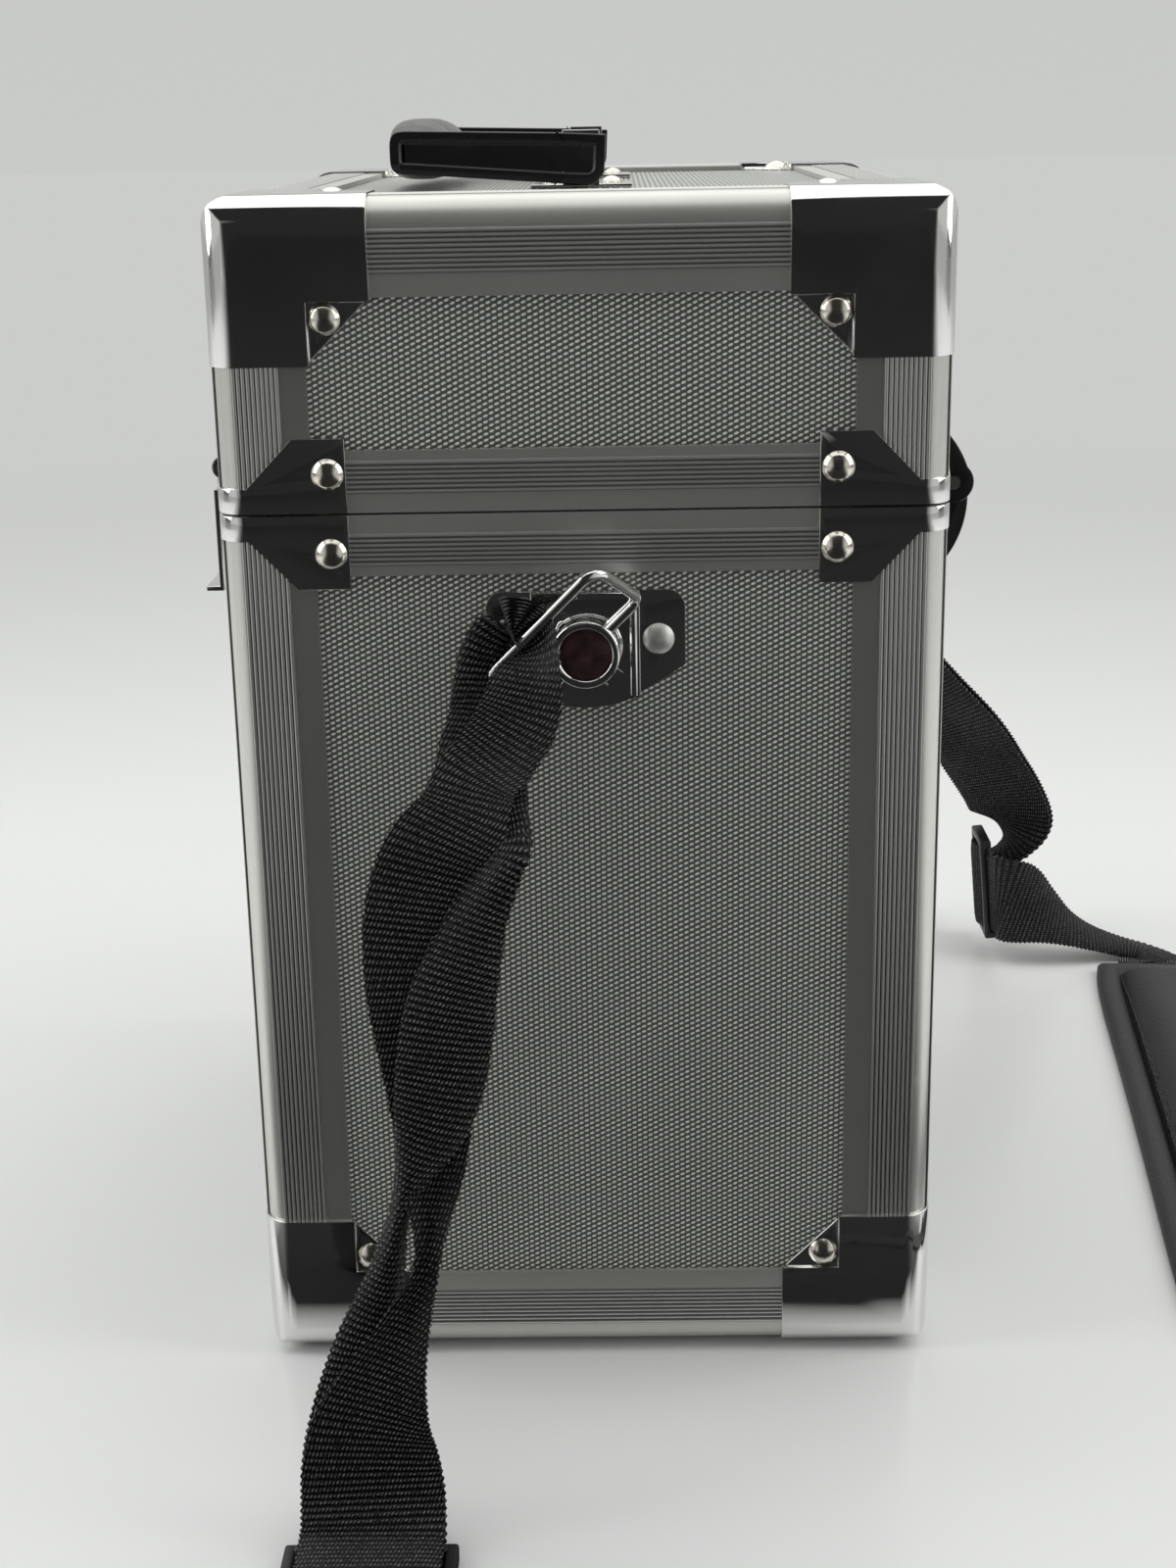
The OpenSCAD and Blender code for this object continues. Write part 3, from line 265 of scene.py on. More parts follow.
# In a staggered pattern every other row is moved by half a cell, and a cell is drawn from its middle
def movedByHalf(group, value):
    return calc(group, "MULTIPLY", calc(group, "FLOORED_MODULO", calc(group, "FLOOR", value), 2.0), 0.5)


def fromMiddle(group, value):
    return calc(group, "SUBTRACT", calc(group, "FRACT", value), 0.5)


def roundSpot(group, first, second):
    squares = [calc(group, "POWER", calc(group, "MULTIPLY", value, narrow), 2.0)
               for value, narrow in (first, second)]
    return calc(group, "SUBTRACT", 1.0, calc(group, "ADD", *squares), clamp=True)


latticeLook = {"slant": -0.3, "narrow": 2.1, "low": 3.6, "soft": 0.7}


# Dots in staggered columns, from a map in metres
def makeDotLattice():
    group, given, made = newGroup("dotLattice", {"Column Gap": 0.00158, "Row Gap": 0.00163}, ["Dots"])
    split = separate(group, given["Vector"])
    column = calc(group, "DIVIDE", split[0], given["Column Gap"])
    row = calc(group, "ADD", calc(group, "DIVIDE", split[1], given["Row Gap"]), movedByHalf(group, column))
    across = fromMiddle(group, column)
    slant = calc(group, "MULTIPLY_ADD", across, latticeLook["slant"], fromMiddle(group, row))
    spot = roundSpot(group, (across, latticeLook["narrow"]), (slant, latticeLook["low"]))
    group.links.new(calc(group, "POWER", spot, latticeLook["soft"]), made["Dots"])
    return group


threadLook = {"slant": 0.7, "short": 2.0, "narrow": 2.6, "soft": 0.6, "toneSoft": 1.3, "fuzz": 1500.0,
              "fuzzStops": [(0.35, 0.15), (0.7, 1.0)]}


# Short slanting threads in staggered rows, from a map in metres that runs along the webbing
def makeWovenThreads():
    group, given, made = newGroup("wovenThreads", {"Along": 0.0018, "Across": 0.00105}, ["Threads", "Thread Highlight"])
    split = separate(group, given["Vector"])
    row = calc(group, "ADD", calc(group, "DIVIDE", split[0], given["Along"]), 0.5)
    along = fromMiddle(group, row)
    lane = calc(group, "ADD", calc(group, "DIVIDE", split[1], given["Across"]), movedByHalf(group, row))
    across = fromMiddle(group, calc(group, "MULTIPLY_ADD", along, threadLook["slant"], lane))
    weave = roundSpot(group, (along, threadLook["short"]), (across, threadLook["narrow"]))
    group.links.new(calc(group, "POWER", weave, threadLook["soft"]), made["Threads"])
    # The second output is a painted highlight on the thread tops with painted shade between, broken up at
    # random by a fine fuzz
    fuzz = noise(group, given["Vector"], Scale=threadLook["fuzz"], Detail=3.0)
    strong = ramp(group, fuzz, threadLook["fuzzStops"])
    tone = calc(group, "MULTIPLY", calc(group, "POWER", weave, threadLook["toneSoft"]), strong)
    group.links.new(tone, made["Thread Highlight"])
    return group


grainLook = {"noiseScale": 0.3, "creaseHigh": 2.5, "noiseHigh": 0.6}


# Leather cloth: small rounded cells with creases between them
def makeLeatherGrain():
    group, given, made = newGroup("leatherGrain", {"Scale": 900.0}, ["Height"])
    cells = addNode(group, "ShaderNodeTexVoronoi", feature="DISTANCE_TO_EDGE", Vector=given["Vector"],
                    Scale=given["Scale"])
    scale = calc(group, "MULTIPLY", given["Scale"], grainLook["noiseScale"])
    uneven = noise(group, given["Vector"], Scale=scale, Detail=4.0)
    crease = calc(group, "MULTIPLY", cells.outputs[0], grainLook["creaseHigh"], clamp=True)
    group.links.new(calc(group, "MULTIPLY_ADD", uneven, grainLook["noiseHigh"], crease), made["Height"])
    return group


speckLook = {"dots": [(0.0, 1.0), (0.16, 0.0)], "patches": [(0.5, 0.0), (0.66, 1.0)], "patchScale": 14.0,
             "railScale": 420.0, "railBump": (0.5, 0.0001)}


# Specks and small pits in a metal finish
def makeSpecks():
    group, given, made = newGroup("specks", {"Scale": 500.0}, ["Specks"])
    cells = addNode(group, "ShaderNodeTexVoronoi", feature="F1", Vector=given["Vector"], Scale=given["Scale"])
    patches = noise(group, given["Vector"], Scale=speckLook["patchScale"], Detail=2.0)
    dot = ramp(group, cells.outputs[0], speckLook["dots"])
    where = ramp(group, patches, speckLook["patches"])
    group.links.new(calc(group, "MULTIPLY", dot, where), made["Specks"])
    return group


handlingMarks = makeHandlingMarks()
dotLattice = makeDotLattice()
wovenThreads = makeWovenThreads()
leatherGrain = makeLeatherGrain()
specks = makeSpecks()
print("shader groups made")


def objectCoordinates(tree):
    return tree.nodes.new("ShaderNodeTexCoord").outputs["Object"]


def mapCoordinates(tree):
    return addNode(tree, "ShaderNodeUVMap", uv_map="lay").outputs[0]


# Each metal with its dulled colour, how much smears roughen it, and the sizes of its smears and scratches
metals = {
    "rail_aluminium": {"name": "satinAluminium", "colour": (0.7, 0.7, 0.66), "dull": (0.55, 0.55, 0.52),
                       "rough": 0.3, "smearRough": 0.06, "sizes": (9.0, 220.0), "metallic": 0.9},
    "long_rail": {"name": "longRailAluminium", "colour": (0.66, 0.66, 0.62), "dull": (0.52, 0.52, 0.49),
                  "rough": 0.4, "smearRough": 0.06, "sizes": (9.0, 220.0), "metallic": 0.85},
    "chrome": {"name": "chromePlate", "colour": (0.8, 0.8, 0.79), "dull": (0.6, 0.6, 0.6),
               "rough": 0.05, "smearRough": 0.1},
    "nickel_rivet": {"name": "nickelRivet", "colour": (0.78, 0.74, 0.66), "dull": (0.5, 0.47, 0.4),
                     "rough": 0.12, "smearRough": 0.15, "sizes": (160.0, 600.0)},
    "satin_rivet": {"name": "satinRivet", "colour": (0.8, 0.79, 0.76), "dull": (0.55, 0.54, 0.5),
                    "rough": 0.42, "smearRough": 0.12, "sizes": (160.0, 600.0), "metallic": 0.85},
    "pin_steel": {"name": "turnedSteel", "colour": (0.6, 0.6, 0.6), "dull": (0.4, 0.4, 0.4),
                  "rough": 0.25, "smearRough": 0.1},
}


def makeMetal(name, colour, dull, rough, smearRough, sizes=(30.0, 300.0), metallic=1.0):
    material, tree, shader = newMaterial(name, colour, metallic, rough)
    marks = useGroup(tree, handlingMarks, objectCoordinates(tree), Smear_Size=sizes[0], Scratch_Size=sizes[1])
    worn = calc(tree, "MULTIPLY_ADD", marks["Smears"], smearRough, rough)
    worn = calc(tree, "MULTIPLY_ADD", marks["Scratches"], markLook["scratchRough"], worn, clamp=True)
    tree.links.new(worn, shader.inputs["Roughness"])
    share = calc(tree, "MULTIPLY", marks["Smears"], markLook["smearTone"])
    tree.links.new(mixColours(tree, share, colour, dull), shader.inputs["Base Color"])
    return material


# Ribbed rails: painted shade between the ribs and a painted highlight on them, from a map with one rib to a
# unit
# low is the painted shade in the grooves, high the painted highlight on the rib tops
ribbed = {"ribbedPost": {"low": 0.16, "high": 1.0, "rough": 0.3},
          "ribbedRail": {"low": 0.3, "high": 0.8, "rough": 0.42}}
ribLook = {"metallic": 0.9, "blue": 0.96, "places": (0.1, 0.26, 0.4)}


def makeRibbed(name, low, high, rough):
    def shade(tone):
        return tone, tone, tone * ribLook["blue"]

    material, tree, shader = newMaterial(name, shade(high), ribLook["metallic"], rough)
    ridge = calc(tree, "PINGPONG", separate(tree, mapCoordinates(tree))[0], 0.5)
    # The ramp runs from painted shade in each groove to a painted highlight on each rib's top
    paintedShadeAndHighlight = [shade(tone) for tone in (low, (low + high) / 2, high)]
    paint(tree, shader, ridge, list(zip(ribLook["places"], paintedShadeAndHighlight)))
    return material


# Materials with a noise for their tone; a bump, where there is one, is its strength and distance
grained = {
    "button_face": {"name": "buttonFace", "colour": (0.035, 0.014, 0.018), "rough": 0.3,
                    "noise": {"Scale": 260.0, "Detail": 4.0},
                    "stops": [(0.3, (0.014, 0.006, 0.008)), (0.7, (0.06, 0.024, 0.03))]},
    "plywood": {"name": "plywoodCore", "colour": (0.5, 0.36, 0.22), "rough": 0.7,
                "noise": {"Scale": 60.0, "Detail": 6.0}, "stretch": (1.0, 1.0, 14.0),
                "stops": [(0.3, (0.36, 0.24, 0.13)), (0.7, (0.6, 0.45, 0.28))]},
    "foam_lining": {"name": "linedFoam", "colour": (0.05, 0.05, 0.055), "rough": 0.9,
                    "noise": {"Scale": 1400.0, "Detail": 4.0}, "bump": (0.6, 0.0005),
                    "fixed": {"Sheen_Weight": 0.4},
                    "stops": [(0.3, (0.025, 0.025, 0.028)), (0.75, (0.085, 0.085, 0.09))]},
}


def makeGrained(how):
    fixed = how.get("fixed", {})
    material, tree, shader = newMaterial(how["name"], how["colour"], 0.0, how["rough"], **fixed)
    place = objectCoordinates(tree)
    if "stretch" in how:
        place = addNode(tree, "ShaderNodeMapping", Vector=place, Scale=how["stretch"]).outputs[0]
    grain = noise(tree, place, **how["noise"])
    paint(tree, shader, grain, how["stops"])
    if "bump" in how:
        addBump(tree, shader, grain, *how["bump"])
    return material


plastics = {"black_plastic": {"name": "handlePlastic", "tone": 0.01, "rough": 0.22},
            "slider_plastic": {"name": "sliderPlastic", "tone": 0.012, "rough": 0.36}}
plasticLook = {"blue": 1.05, "smears": 60.0, "scratches": 500.0, "smearRough": 0.12, "grain": 1800.0,
               "bump": (0.25, 0.0001)}


def makePlastic(name, tone, rough):
    look = plasticLook
    material, tree, shader = newMaterial(name, (tone, tone, tone * look["blue"]), 0.0, rough)
    marks = useGroup(tree, handlingMarks, objectCoordinates(tree), Smear_Size=look["smears"],
                     Scratch_Size=look["scratches"])
    worn = calc(tree, "MULTIPLY_ADD", marks["Smears"], look["smearRough"], rough)
    tree.links.new(worn, shader.inputs["Roughness"])
    grain = noise(tree, objectCoordinates(tree), Scale=look["grain"], Detail=2.0)
    addBump(tree, shader, grain, *look["bump"])
    return material


# Materials with a pattern of their own: the outputs of its group that give the tone and the height; where
# there is a tone, it is painted light, a painted highlight on what stands up and painted shade between
patterned = {
    # The sheet's tone is painted: painted shade between the raised dots, painted highlight on their tops
    "embossed_sheet": {"name": "embossedSheet", "colour": (0.5, 0.51, 0.49), "metallic": 0.38, "rough": 0.3,
                       "tone": "Dots", "height": "Dots", "bump": (1.0, 0.0002),
                       "stops": [(0.0, (0.13, 0.137, 0.12)), (0.36, (0.44, 0.45, 0.41)),
                                 (0.78, (1.0, 1.0, 0.95))]},
    # The webbing's tone is painted: painted highlight on the threads, painted shade between them
    "webbing": {"name": "blackWebbing", "colour": (0.01, 0.01, 0.011), "metallic": 0.0, "rough": 0.5,
                "tone": "Thread Highlight", "height": "Threads", "bump": (0.8, 0.0004),
                "stops": [(0.15, (0.0015, 0.0015, 0.0017)), (0.85, (0.2, 0.2, 0.195))],
                "fixed": {"Specular_IOR_Level": 0.3}},
    "pad_leather": {"name": "padLeather", "colour": (0.016, 0.016, 0.018), "metallic": 0.0, "rough": 0.5,
                    "height": "Height", "bump": (0.5, 0.0003), "values": {"Scale": 700.0}},
}


def makePatterned(how, group, coordinates):
    material, tree, shader = newMaterial(how["name"], how["colour"], how["metallic"], how["rough"],
                                         **how.get("fixed", {}))
    pattern = useGroup(tree, group, coordinates(tree), **how.get("values", {}))
    if "tone" in how:
        paint(tree, shader, pattern[how["tone"]], how["stops"])
    addBump(tree, shader, pattern[how["height"]], *how["bump"])
    return material


def makeMaterials():
    made = {slot: makeMetal(**how) for slot, how in metals.items()}
    tree = made["rail_aluminium"].node_tree
    spots = useGroup(tree, specks, objectCoordinates(tree), Scale=speckLook["railScale"])["Specks"]
    addBump(tree, tree.nodes["Principled BSDF"], spots, *speckLook["railBump"])
    made.update({name: makeRibbed(name, **how) for name, how in ribbed.items()})
    made.update({slot: makeGrained(how) for slot, how in grained.items()})
    made.update({slot: makePlastic(**how) for slot, how in plastics.items()})
    for slot, group, coordinates in (("embossed_sheet", dotLattice, mapCoordinates),
                                     ("webbing", wovenThreads, mapCoordinates),
                                     ("pad_leather", leatherGrain, objectCoordinates)):
        made[slot] = makePatterned(patterned[slot], group, coordinates)
    return made


materials = makeMaterials()
for name, node in nodes.items():
    node.data.materials.clear()
    node.data.materials.append(materials[slotOf[name]])
nodes["lug_rivets"].data.materials[0] = materials["satin_rivet"]
for name in ("body_bottom_rails", "body_mouth_rails", "lid_mouth_rails", "lid_top_rails"):
    nodes[name].data.materials[0] = materials["long_rail"]
print("materials made")


# Straps: rows of place, width direction and share of the width, in millimetres; floorRun has places only
webbingSize = {"width": 0.038, "thick": 0.0018, "across": 10, "stepsPerRow": 6, "rib": 0.0018, "perRib": 4,
               "ribHigh": 0.00022, "ribOut": 0.00035, "edgeThin": 0.45, "edgePower": 10, "cupMiddle": 0.33}
strapRoutes = {
    "nearFront": [
        ((156.2, -15.4, 231.7), (0, 7, 7), 0.43), ((158.6, -13.2, 229.7), (0, 7, 7), 0.42),
        ((162.4, -13.1, 226.6), (0, 8, 6), 0.43), ((166, -14.6, 221.5), (0, 9, 4), 0.5),
        ((170.2, -17.4, 212.2), (0, 9, 0), 0.57),
        ((174.4, -22.4, 204.3), (0, 9, 0), 0.58), ((179.1, -28.6, 197.2), (0, 9, 1), 0.6),
        ((183.6, -31.7, 190.1), (0, 9, 1), 0.65), ((187.4, -36.3, 180.9), (0, 9, 0), 0.85),
        ((189.5, -39.2, 171.4), (0, 9, 0), 0.93), ((192, -40.9, 161.6), (0, 9, -1), 0.95),
        ((195.2, -42.1, 151.1), (0, 9, 0), 0.89), ((198.4, -42.1, 140), (0, 9, 0), 0.81),
        ((202.2, -41.6, 123.2), (0, 9, 0), 0.66), ((205, -41.4, 111.2), (0, 9, -1), 0.55),
        ((208.3, -41.6, 100.3), (0, 9, -1), 0.46), ((211, -42, 91), (0, 9, 1), 0.34),
        ((214.2, -42.5, 80.4), (0, 9, 3), 0.2), ((216.9, -44.4, 71.4), (0, 9, -1), 0.19),
        ((218.6, -47.3, 64.6), (0, 9, -1), 0.28), ((220.9, -50.7, 56.2), (0, 9, 0), 0.4),
        ((223.5, -54.9, 45.8), (0, 9, 1), 0.6), ((225.5, -58.6, 33.8), (0, 9, 0), 0.83),
        ((227.2, -59.4, 23.3), (0, 9, 0), 0.96), ((229.5, -59.2, 14), (0, 9, 0), 1),
        ((233.5, -59, 8.2), (0, 9, 0), 1), ((238, -59, 6.5), (0, 9, 0), 1), ((244, -59, 6.3), (0, 9, 0), 1),
        ((250, -59, 6.1), (0, 9, 0), 1), ((254, -59, 4), (0, 9, 0), 1), ((257.5, -59, 1.9), (0, 9, 0), 1),
        ((261, -59, 1.25), (0, 9, 0), 1)],
    "nearBack": [
        ((156.2, -15.6, 232), (0, 7, 7), 0.43), ((156.8, -17.9, 234.2), (-1, 7, 6), 0.41),
        ((157.2, -20.6, 234), (-2, 8, 5), 0.4), ((157.2, -23.8, 230), (-2, 9, 4), 0.4),
        ((157.6, -26, 224), (-3, 9, 2), 0.43), ((159.2, -26.6, 218), (-2, 9, 0), 0.46),
        ((162, -27, 212.5), (0, 9, -2), 0.49), ((165.4, -28.1, 207.3), (0, 9, -3), 0.5),
        ((169.8, -29.4, 200.5), (0, 9, -2), 0.56), ((174.2, -28.3, 194.2), (0, 9, 0), 0.66),
        ((179.7, -24.9, 188.2), (0, 9, 2), 0.55), ((187.7, -20.5, 182.2), (0, 9, 5), 0.32),
        ((192.8, -23.9, 175.2), (0, 9, 5), 0.35), ((196.6, -28.3, 165.7), (0, 9, 2), 0.41),
        ((200, -31.8, 155.6), (0, 9, 0), 0.51), ((202.6, -34.5, 147.1), (0, 9, -1), 0.59),
        ((205.3, -36.7, 137.3), (0, 9, -2), 0.64), ((207.9, -38.6, 125.2), (0, 9, -2), 0.62),
        ((210.4, -41.5, 113), (0, 9, -2), 0.52), ((211.9, -45.7, 101.8), (0, 9, -2), 0.31),
        ((212.1, -50.1, 91), (0, 9, -3), 0.14), ((212.4, -52.8, 78.8), (0, 9, -4), 0.19),
        ((213.5, -56, 65.8), (0, 9, -4), 0.31), ((216.1, -60, 52.6), (0, 9, -3), 0.46),
        ((219, -61.3, 38.9), (0, 9, -1), 0.68), ((221.4, -60.8, 26.2), (0, 9, -1), 0.9),
        ((224.3, -59.6, 14), (0, 9, 0), 1), ((229, -59, 5.5), (0, 9, 0), 1), ((234, -59, 2.2), (0, 9, 0), 1),
        ((240, -59, 1.35), (0, 9, 0), 1), ((245.5, -59, 1.35), (0, 9, 0), 1)],
    "floorRun": [
        (261, -59), (269, -59), (281, -54), (292, -43), (300, -25), (306, -2), (309, 22), (310, 48),
        (309, 74), (306, 100), (300, 126), (291, 151), (278, 173), (261, 191), (241, 204), (219, 210),
        (197, 211), (175, 210), (155, 210), (137.8, 211.8)],
    "farRun": [
        ((-171.8, 244.3, 1.3), (0, 9, 0), 1), ((-177, 244.9, 1.5), (1, 9, 0), 0.75),
        ((-183.5, 243.8, 2.4), (-2, 9, 0), 0.5), ((-189, 239, 3.4), (-6, 6, 0), 0.45),
        ((-191, 230, 5.4), (-9, 3, 1), 0.45), ((-190, 219, 9.4), (-9, 1, 2), 0.5),
        ((-188.5, 208, 14.5), (-8, 1, 4), 0.55), ((-187.5, 197, 20.5), (-6, 1, 7), 0.7),
        ((-186.8, 187, 25.5), (-3, 0, 9), 0.9), ((-187, 179, 28.4), (0, 0, 9), 1),
        ((-190.5, 174.5, 29.3), (0, -1, 9), 1),
        ((-196.2, 173, 29.5), (0, -1, 11.4), 1), ((-203, 169.4, 29.5), (0, -1, 11.4), 1),
        ((-209, 167.6, 29.5), (0, -1, 11.4), 1), ((-215, 169.2, 29.5), (0, -1, 11.4), 1),
        ((-220, 172, 29.5), (0, -1, 11.4), 1)],
    "farLoop": [
        ((-160.3, 18, 214.4), (0, 4, 9), 1), ((-167, 32, 208.3), (1, 3, 9), 1),
        ((-176, 50, 200.8), (2, 2, 9), 1), ((-184, 72, 187), (2, 0, 9), 1), ((-190, 97, 166), (2, -2, 9), 1),
        ((-195, 122, 141), (2, -4, 8), 1), ((-197.5, 140, 123), (5, 0, 8), 1),
        ((-200, 156.9, 104.9), (6, 4, 6), 1), ((-207, 168.6, 87.1), (6, 6, 5), 1),
        ((-214, 179.5, 69.4), (6, 7, 4), 1), ((-219.5, 185, 56), (7, 6, 4), 1),
        ((-224, 185.5, 46), (8, 3, 3), 0.7), ((-230, 182.5, 38.5), (7, 0, 4), 0.5),
        ((-231, 177.5, 33), (3, 0, 8), 0.45), ((-229, 172.6, 30.2), (1.5, 0, 9), 0.45),
        ((-225.4, 171.5, 29.5), (0, -1, 11.4), 0.45), ((-221.8, 171.5, 29.5), (0, -1, 11.4), 0.45)],
}


# Each end's loop: its strands' rows with their lift and cup, how many rows from the ring belong to the
# bight round its bar, where the blends of both run, and where the slider sits
loops = {
    "near": {"strands": (("nearFront", 0.0, 0.004), ("nearBack", 0.0, -0.004)), "bightRows": 0,
             "loopBlend": ((0.21, -0.05, 0.08), (0.175, -0.03, 0.2)),
             "slider": (0.249, -0.059, 0.0028), "sliderTurn": 0},
    "far": {"strands": (("farLoop", -0.0013, 0.0), ("farLoop", 0.0013, 0.0)), "bightRows": 1,
            "bightBlend": ((-0.167, 0.032, 0.2083), (-0.161, 0.0195, 0.2137)),
            "loopBlend": ((-0.205, 0.15, 0.11), (-0.17, 0.03, 0.207)),
            "slider": (-0.209, 0.1715, 0.0295), "sliderTurn": 95},
}


# The curve through b and c at t, with a and d as their neighbours
def between(a, b, c, d, t):
    bend, twist = 2 * a - 5 * b + 4 * c - d, 3 * b - a - 3 * c + d
    return 0.5 * (2 * b + (c - a) * t + bend * t * t + twist * t ** 3)


# A smooth line through the rows, with a width direction kept square to it
def smoothRows(rows, steps):
    places = [Vector(r[0]) / 1000 for r in rows]
    sides = [Vector(r[1]).normalized() for r in rows]
    shares = [r[2] for r in rows]
    line = []
    for i in range(len(rows) - 1):
        pick = [max(i - 1, 0), i, i + 1, min(i + 2, len(rows) - 1)]
        last = i == len(rows) - 2
        for k in range(steps + last):
            t = k / steps
            line.append([between(*(places[j] for j in pick), t), between(*(sides[j] for j in pick), t),
                         between(*(shares[j] for j in pick), t)])
    made = []
    for i, (place, side, share) in enumerate(line):
        heading = (line[min(i + 1, len(line) - 1)][0] - line[max(i - 1, 0)][0]).normalized()
        side = (side - heading * side.dot(heading)).normalized()
        made.append((place, side, heading.cross(side), share))
    return made


# The line again with rows at even steps, four to a rib
def evenRows(line):
    step = webbingSize["rib"] / webbingSize["perRib"]
    made, due, run = [], 0.0, 0.0
    for first, second in zip(line, line[1:]):
        long = (second[0] - first[0]).length
        while due <= run + long:
            t = (due - run) / long
            made.append(tuple(a.lerp(b, t) for a, b in zip(first[:3], second[:3])) +
                        (first[3] + (second[3] - first[3]) * t, due))
            due += step
        run += long
    return made


# A closed band of webbing with ribs across it: `lift` moves it along its face, `cup` bends it where it
# is narrower than flat webbing
def bandMesh(name, line, lift=0.0, cup=0.0):
    bm = bmesh.new()
    lay = bm.loops.layers.uv.new("lay")
    size = webbingSize
    count = size["across"]
    profile = [(-1 + 2 * i / count, 1) for i in range(count + 1)]
    profile += [(1 - 2 * i / count, -1) for i in range(count + 1)]
    rows = []
    for place, side, face, share, run in evenRows(line):
        middle = place + face * lift
        rib = math.cos(2 * math.pi * run / size["rib"])
        half = size["width"] / 2 * share + size["ribOut"] * rib
        bend = cup * (1 - share)
        ring = []
        for a, up in profile:
            edge = 1 - size["edgeThin"] * abs(a) ** size["edgePower"]
            thin = (size["thick"] / 2 + size["ribHigh"] * rib) * edge
            bent = bend * (a * a - size["cupMiddle"])
            ring.append(bm.verts.new(middle + side * half * a + face * (up * thin + bent)))
        rows.append((ring, run, half))
    for (first, u1, h1), (second, u2, h2) in zip(rows, rows[1:]):
        for k in range(len(profile)):
            n = (k + 1) % len(profile)
            face = bm.faces.new((first[k], first[n], second[n], second[k]))
            places = ((u1, profile[k][0] * h1), (u1, profile[n][0] * h1), (u2, profile[n][0] * h2),
                      (u2, profile[k][0] * h2))
            for loop, place in zip(face.loops, places):
                loop[lay].uv = place
    for ring in (rows[0][0], rows[-1][0]):
        bm.faces.new(ring)
    piece = pieceFrom(bm, name)
    smoothByAngle(piece, 50)
    return piece


def pieceFrom(bm, name):
    bmesh.ops.recalc_face_normals(bm, faces=bm.faces)
    mesh = bpy.data.meshes.new(name)
    bm.to_mesh(mesh)
    bm.free()
    piece = bpy.data.objects.new(name, mesh)
    bpy.context.collection.objects.link(piece)
    return piece


def lineLength(points):
    return sum((Vector(b) - Vector(a)).length for a, b in zip(points, points[1:]))


sliderSize = {"long": 0.025, "wide": 0.046, "thick": 0.005, "cheek": 0.0035, "bar": 0.0036,
              "barThick": 0.0026, "soft": 0.0009}


# A moulded slider of two cheeks and three bars, lying flat about its own middle
def makeSlider(name):
    size = sliderSize
    inner = size["wide"] - size["cheek"]
    blocks = [((0, s * inner / 2, 0), (size["long"], size["cheek"], size["thick"])) for s in (-1, 1)]
    for s in (-1, 0, 1):
        place = (s * (size["long"] - size["bar"]) / 2, 0,
                 (size["thick"] - size["barThick"]) / 2 * abs(s))  # the middle bar lies lower
        blocks.append((place, (size["bar"], inner, size["barThick"])))
    parts = []
    for place, scale in blocks:
        bpy.ops.mesh.primitive_cube_add(size=1, location=place, scale=scale)
        parts.append(bpy.context.object)
    for part in parts:
        bakePlace(part)
        applyModifier(part, "BEVEL", width=size["soft"], segments=3)
    piece = joined(name, parts)
    smoothByAngle(piece, 40)
    return piece


def placePiece(piece, place, turn):
    piece.data.transform(Matrix.Translation(place) @ turn)
    piece.data.update()


# The loop at one end, a cord that ends in its slider; the bight, where there is one, follows the ring
def makeLoop(end):
    how = loops[end]
    steps = webbingSize["stepsPerRow"]
    strands = [(smoothRows(strapRoutes[key], steps), lift, cup) for key, lift, cup in how["strands"]]
    cut = how["bightRows"] * steps
    if cut:
        bands = [bandMesh("strand", line[:cut + 1], lift, cup) for line, lift, cup in strands]
        bight = joined(end + "Bight", bands)
        finishPiece(bight, None, materials["webbing"], "webbing")
        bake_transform(bight)
    bands = [bandMesh("strand", line[cut:], lift, cup) for line, lift, cup in strands]
    loop = joined(end + "StrapLoop", bands)
    finishPiece(loop, None, materials["webbing"], "webbing", end + "_strap_loop")
    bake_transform(loop)
    slider = makeSlider(end + "Slider")
    placePiece(slider, how["slider"], Matrix.Rotation(math.radians(how["sliderTurn"]), 4, "X"))
    finishPiece(slider, "case", materials["slider_plastic"], "slider_plastic", end + "_slider")
    path = [tuple(row[0]) for row in strands[0][0][cut:]]
    return lineLength(path)


# The webbing between the sliders, in millimetres: flat on the floor, then in a straight line under the pad
shoulderRun = {"floorHeight": 1.25, "padSlope": 0.105, "padMiddle": 226.2, "padSide": (0.1, 1, 0),
               "padRows": ((110, 3), (60, 5), (0, 5), (-60, 5), (-120, 4)), "steps": 4, "cup": 0.003}


def makeShoulderStrap():
    how = shoulderRun
    flat = [Vector(p) for p in strapRoutes["floorRun"]]
    floorRows = []
    for i, p in enumerate(flat):
        way = (flat[min(i + 1, len(flat) - 1)] - flat[max(i - 1, 0)]).normalized()
        floorRows.append(((p.x, p.y, how["floorHeight"]), (-way.y, way.x, 0), 1))
    underPad = [((x, how["padMiddle"] - x * how["padSlope"], z), how["padSide"], 1)
                for x, z in how["padRows"]]
    line = smoothRows(floorRows + underPad + strapRoutes["farRun"], how["steps"])
    strap = bandMesh("shoulderStrap", line, cup=how["cup"])
    finishPiece(strap, "case", materials["webbing"], "webbing", "floor_webbing", "far_webbing")
    path = [tuple(row[0]) for row in line]
    pad = makePad()
    return lineLength(path)


padSize = {"long": 0.310, "wide": 0.062, "thick": 0.0128, "edge": 0.0026, "place": (-0.017, 0.228, 0),
           "turn": -6, "seamIn": 0.0105, "along": 120, "across": 40, "lift": 0.0003, "round": 0.003,
           "waist": 0.0012, "slope": 0.016, "piping": 0.002, "groove": 0.0011, "crease": 0.00018,
           "crown": 0.001}


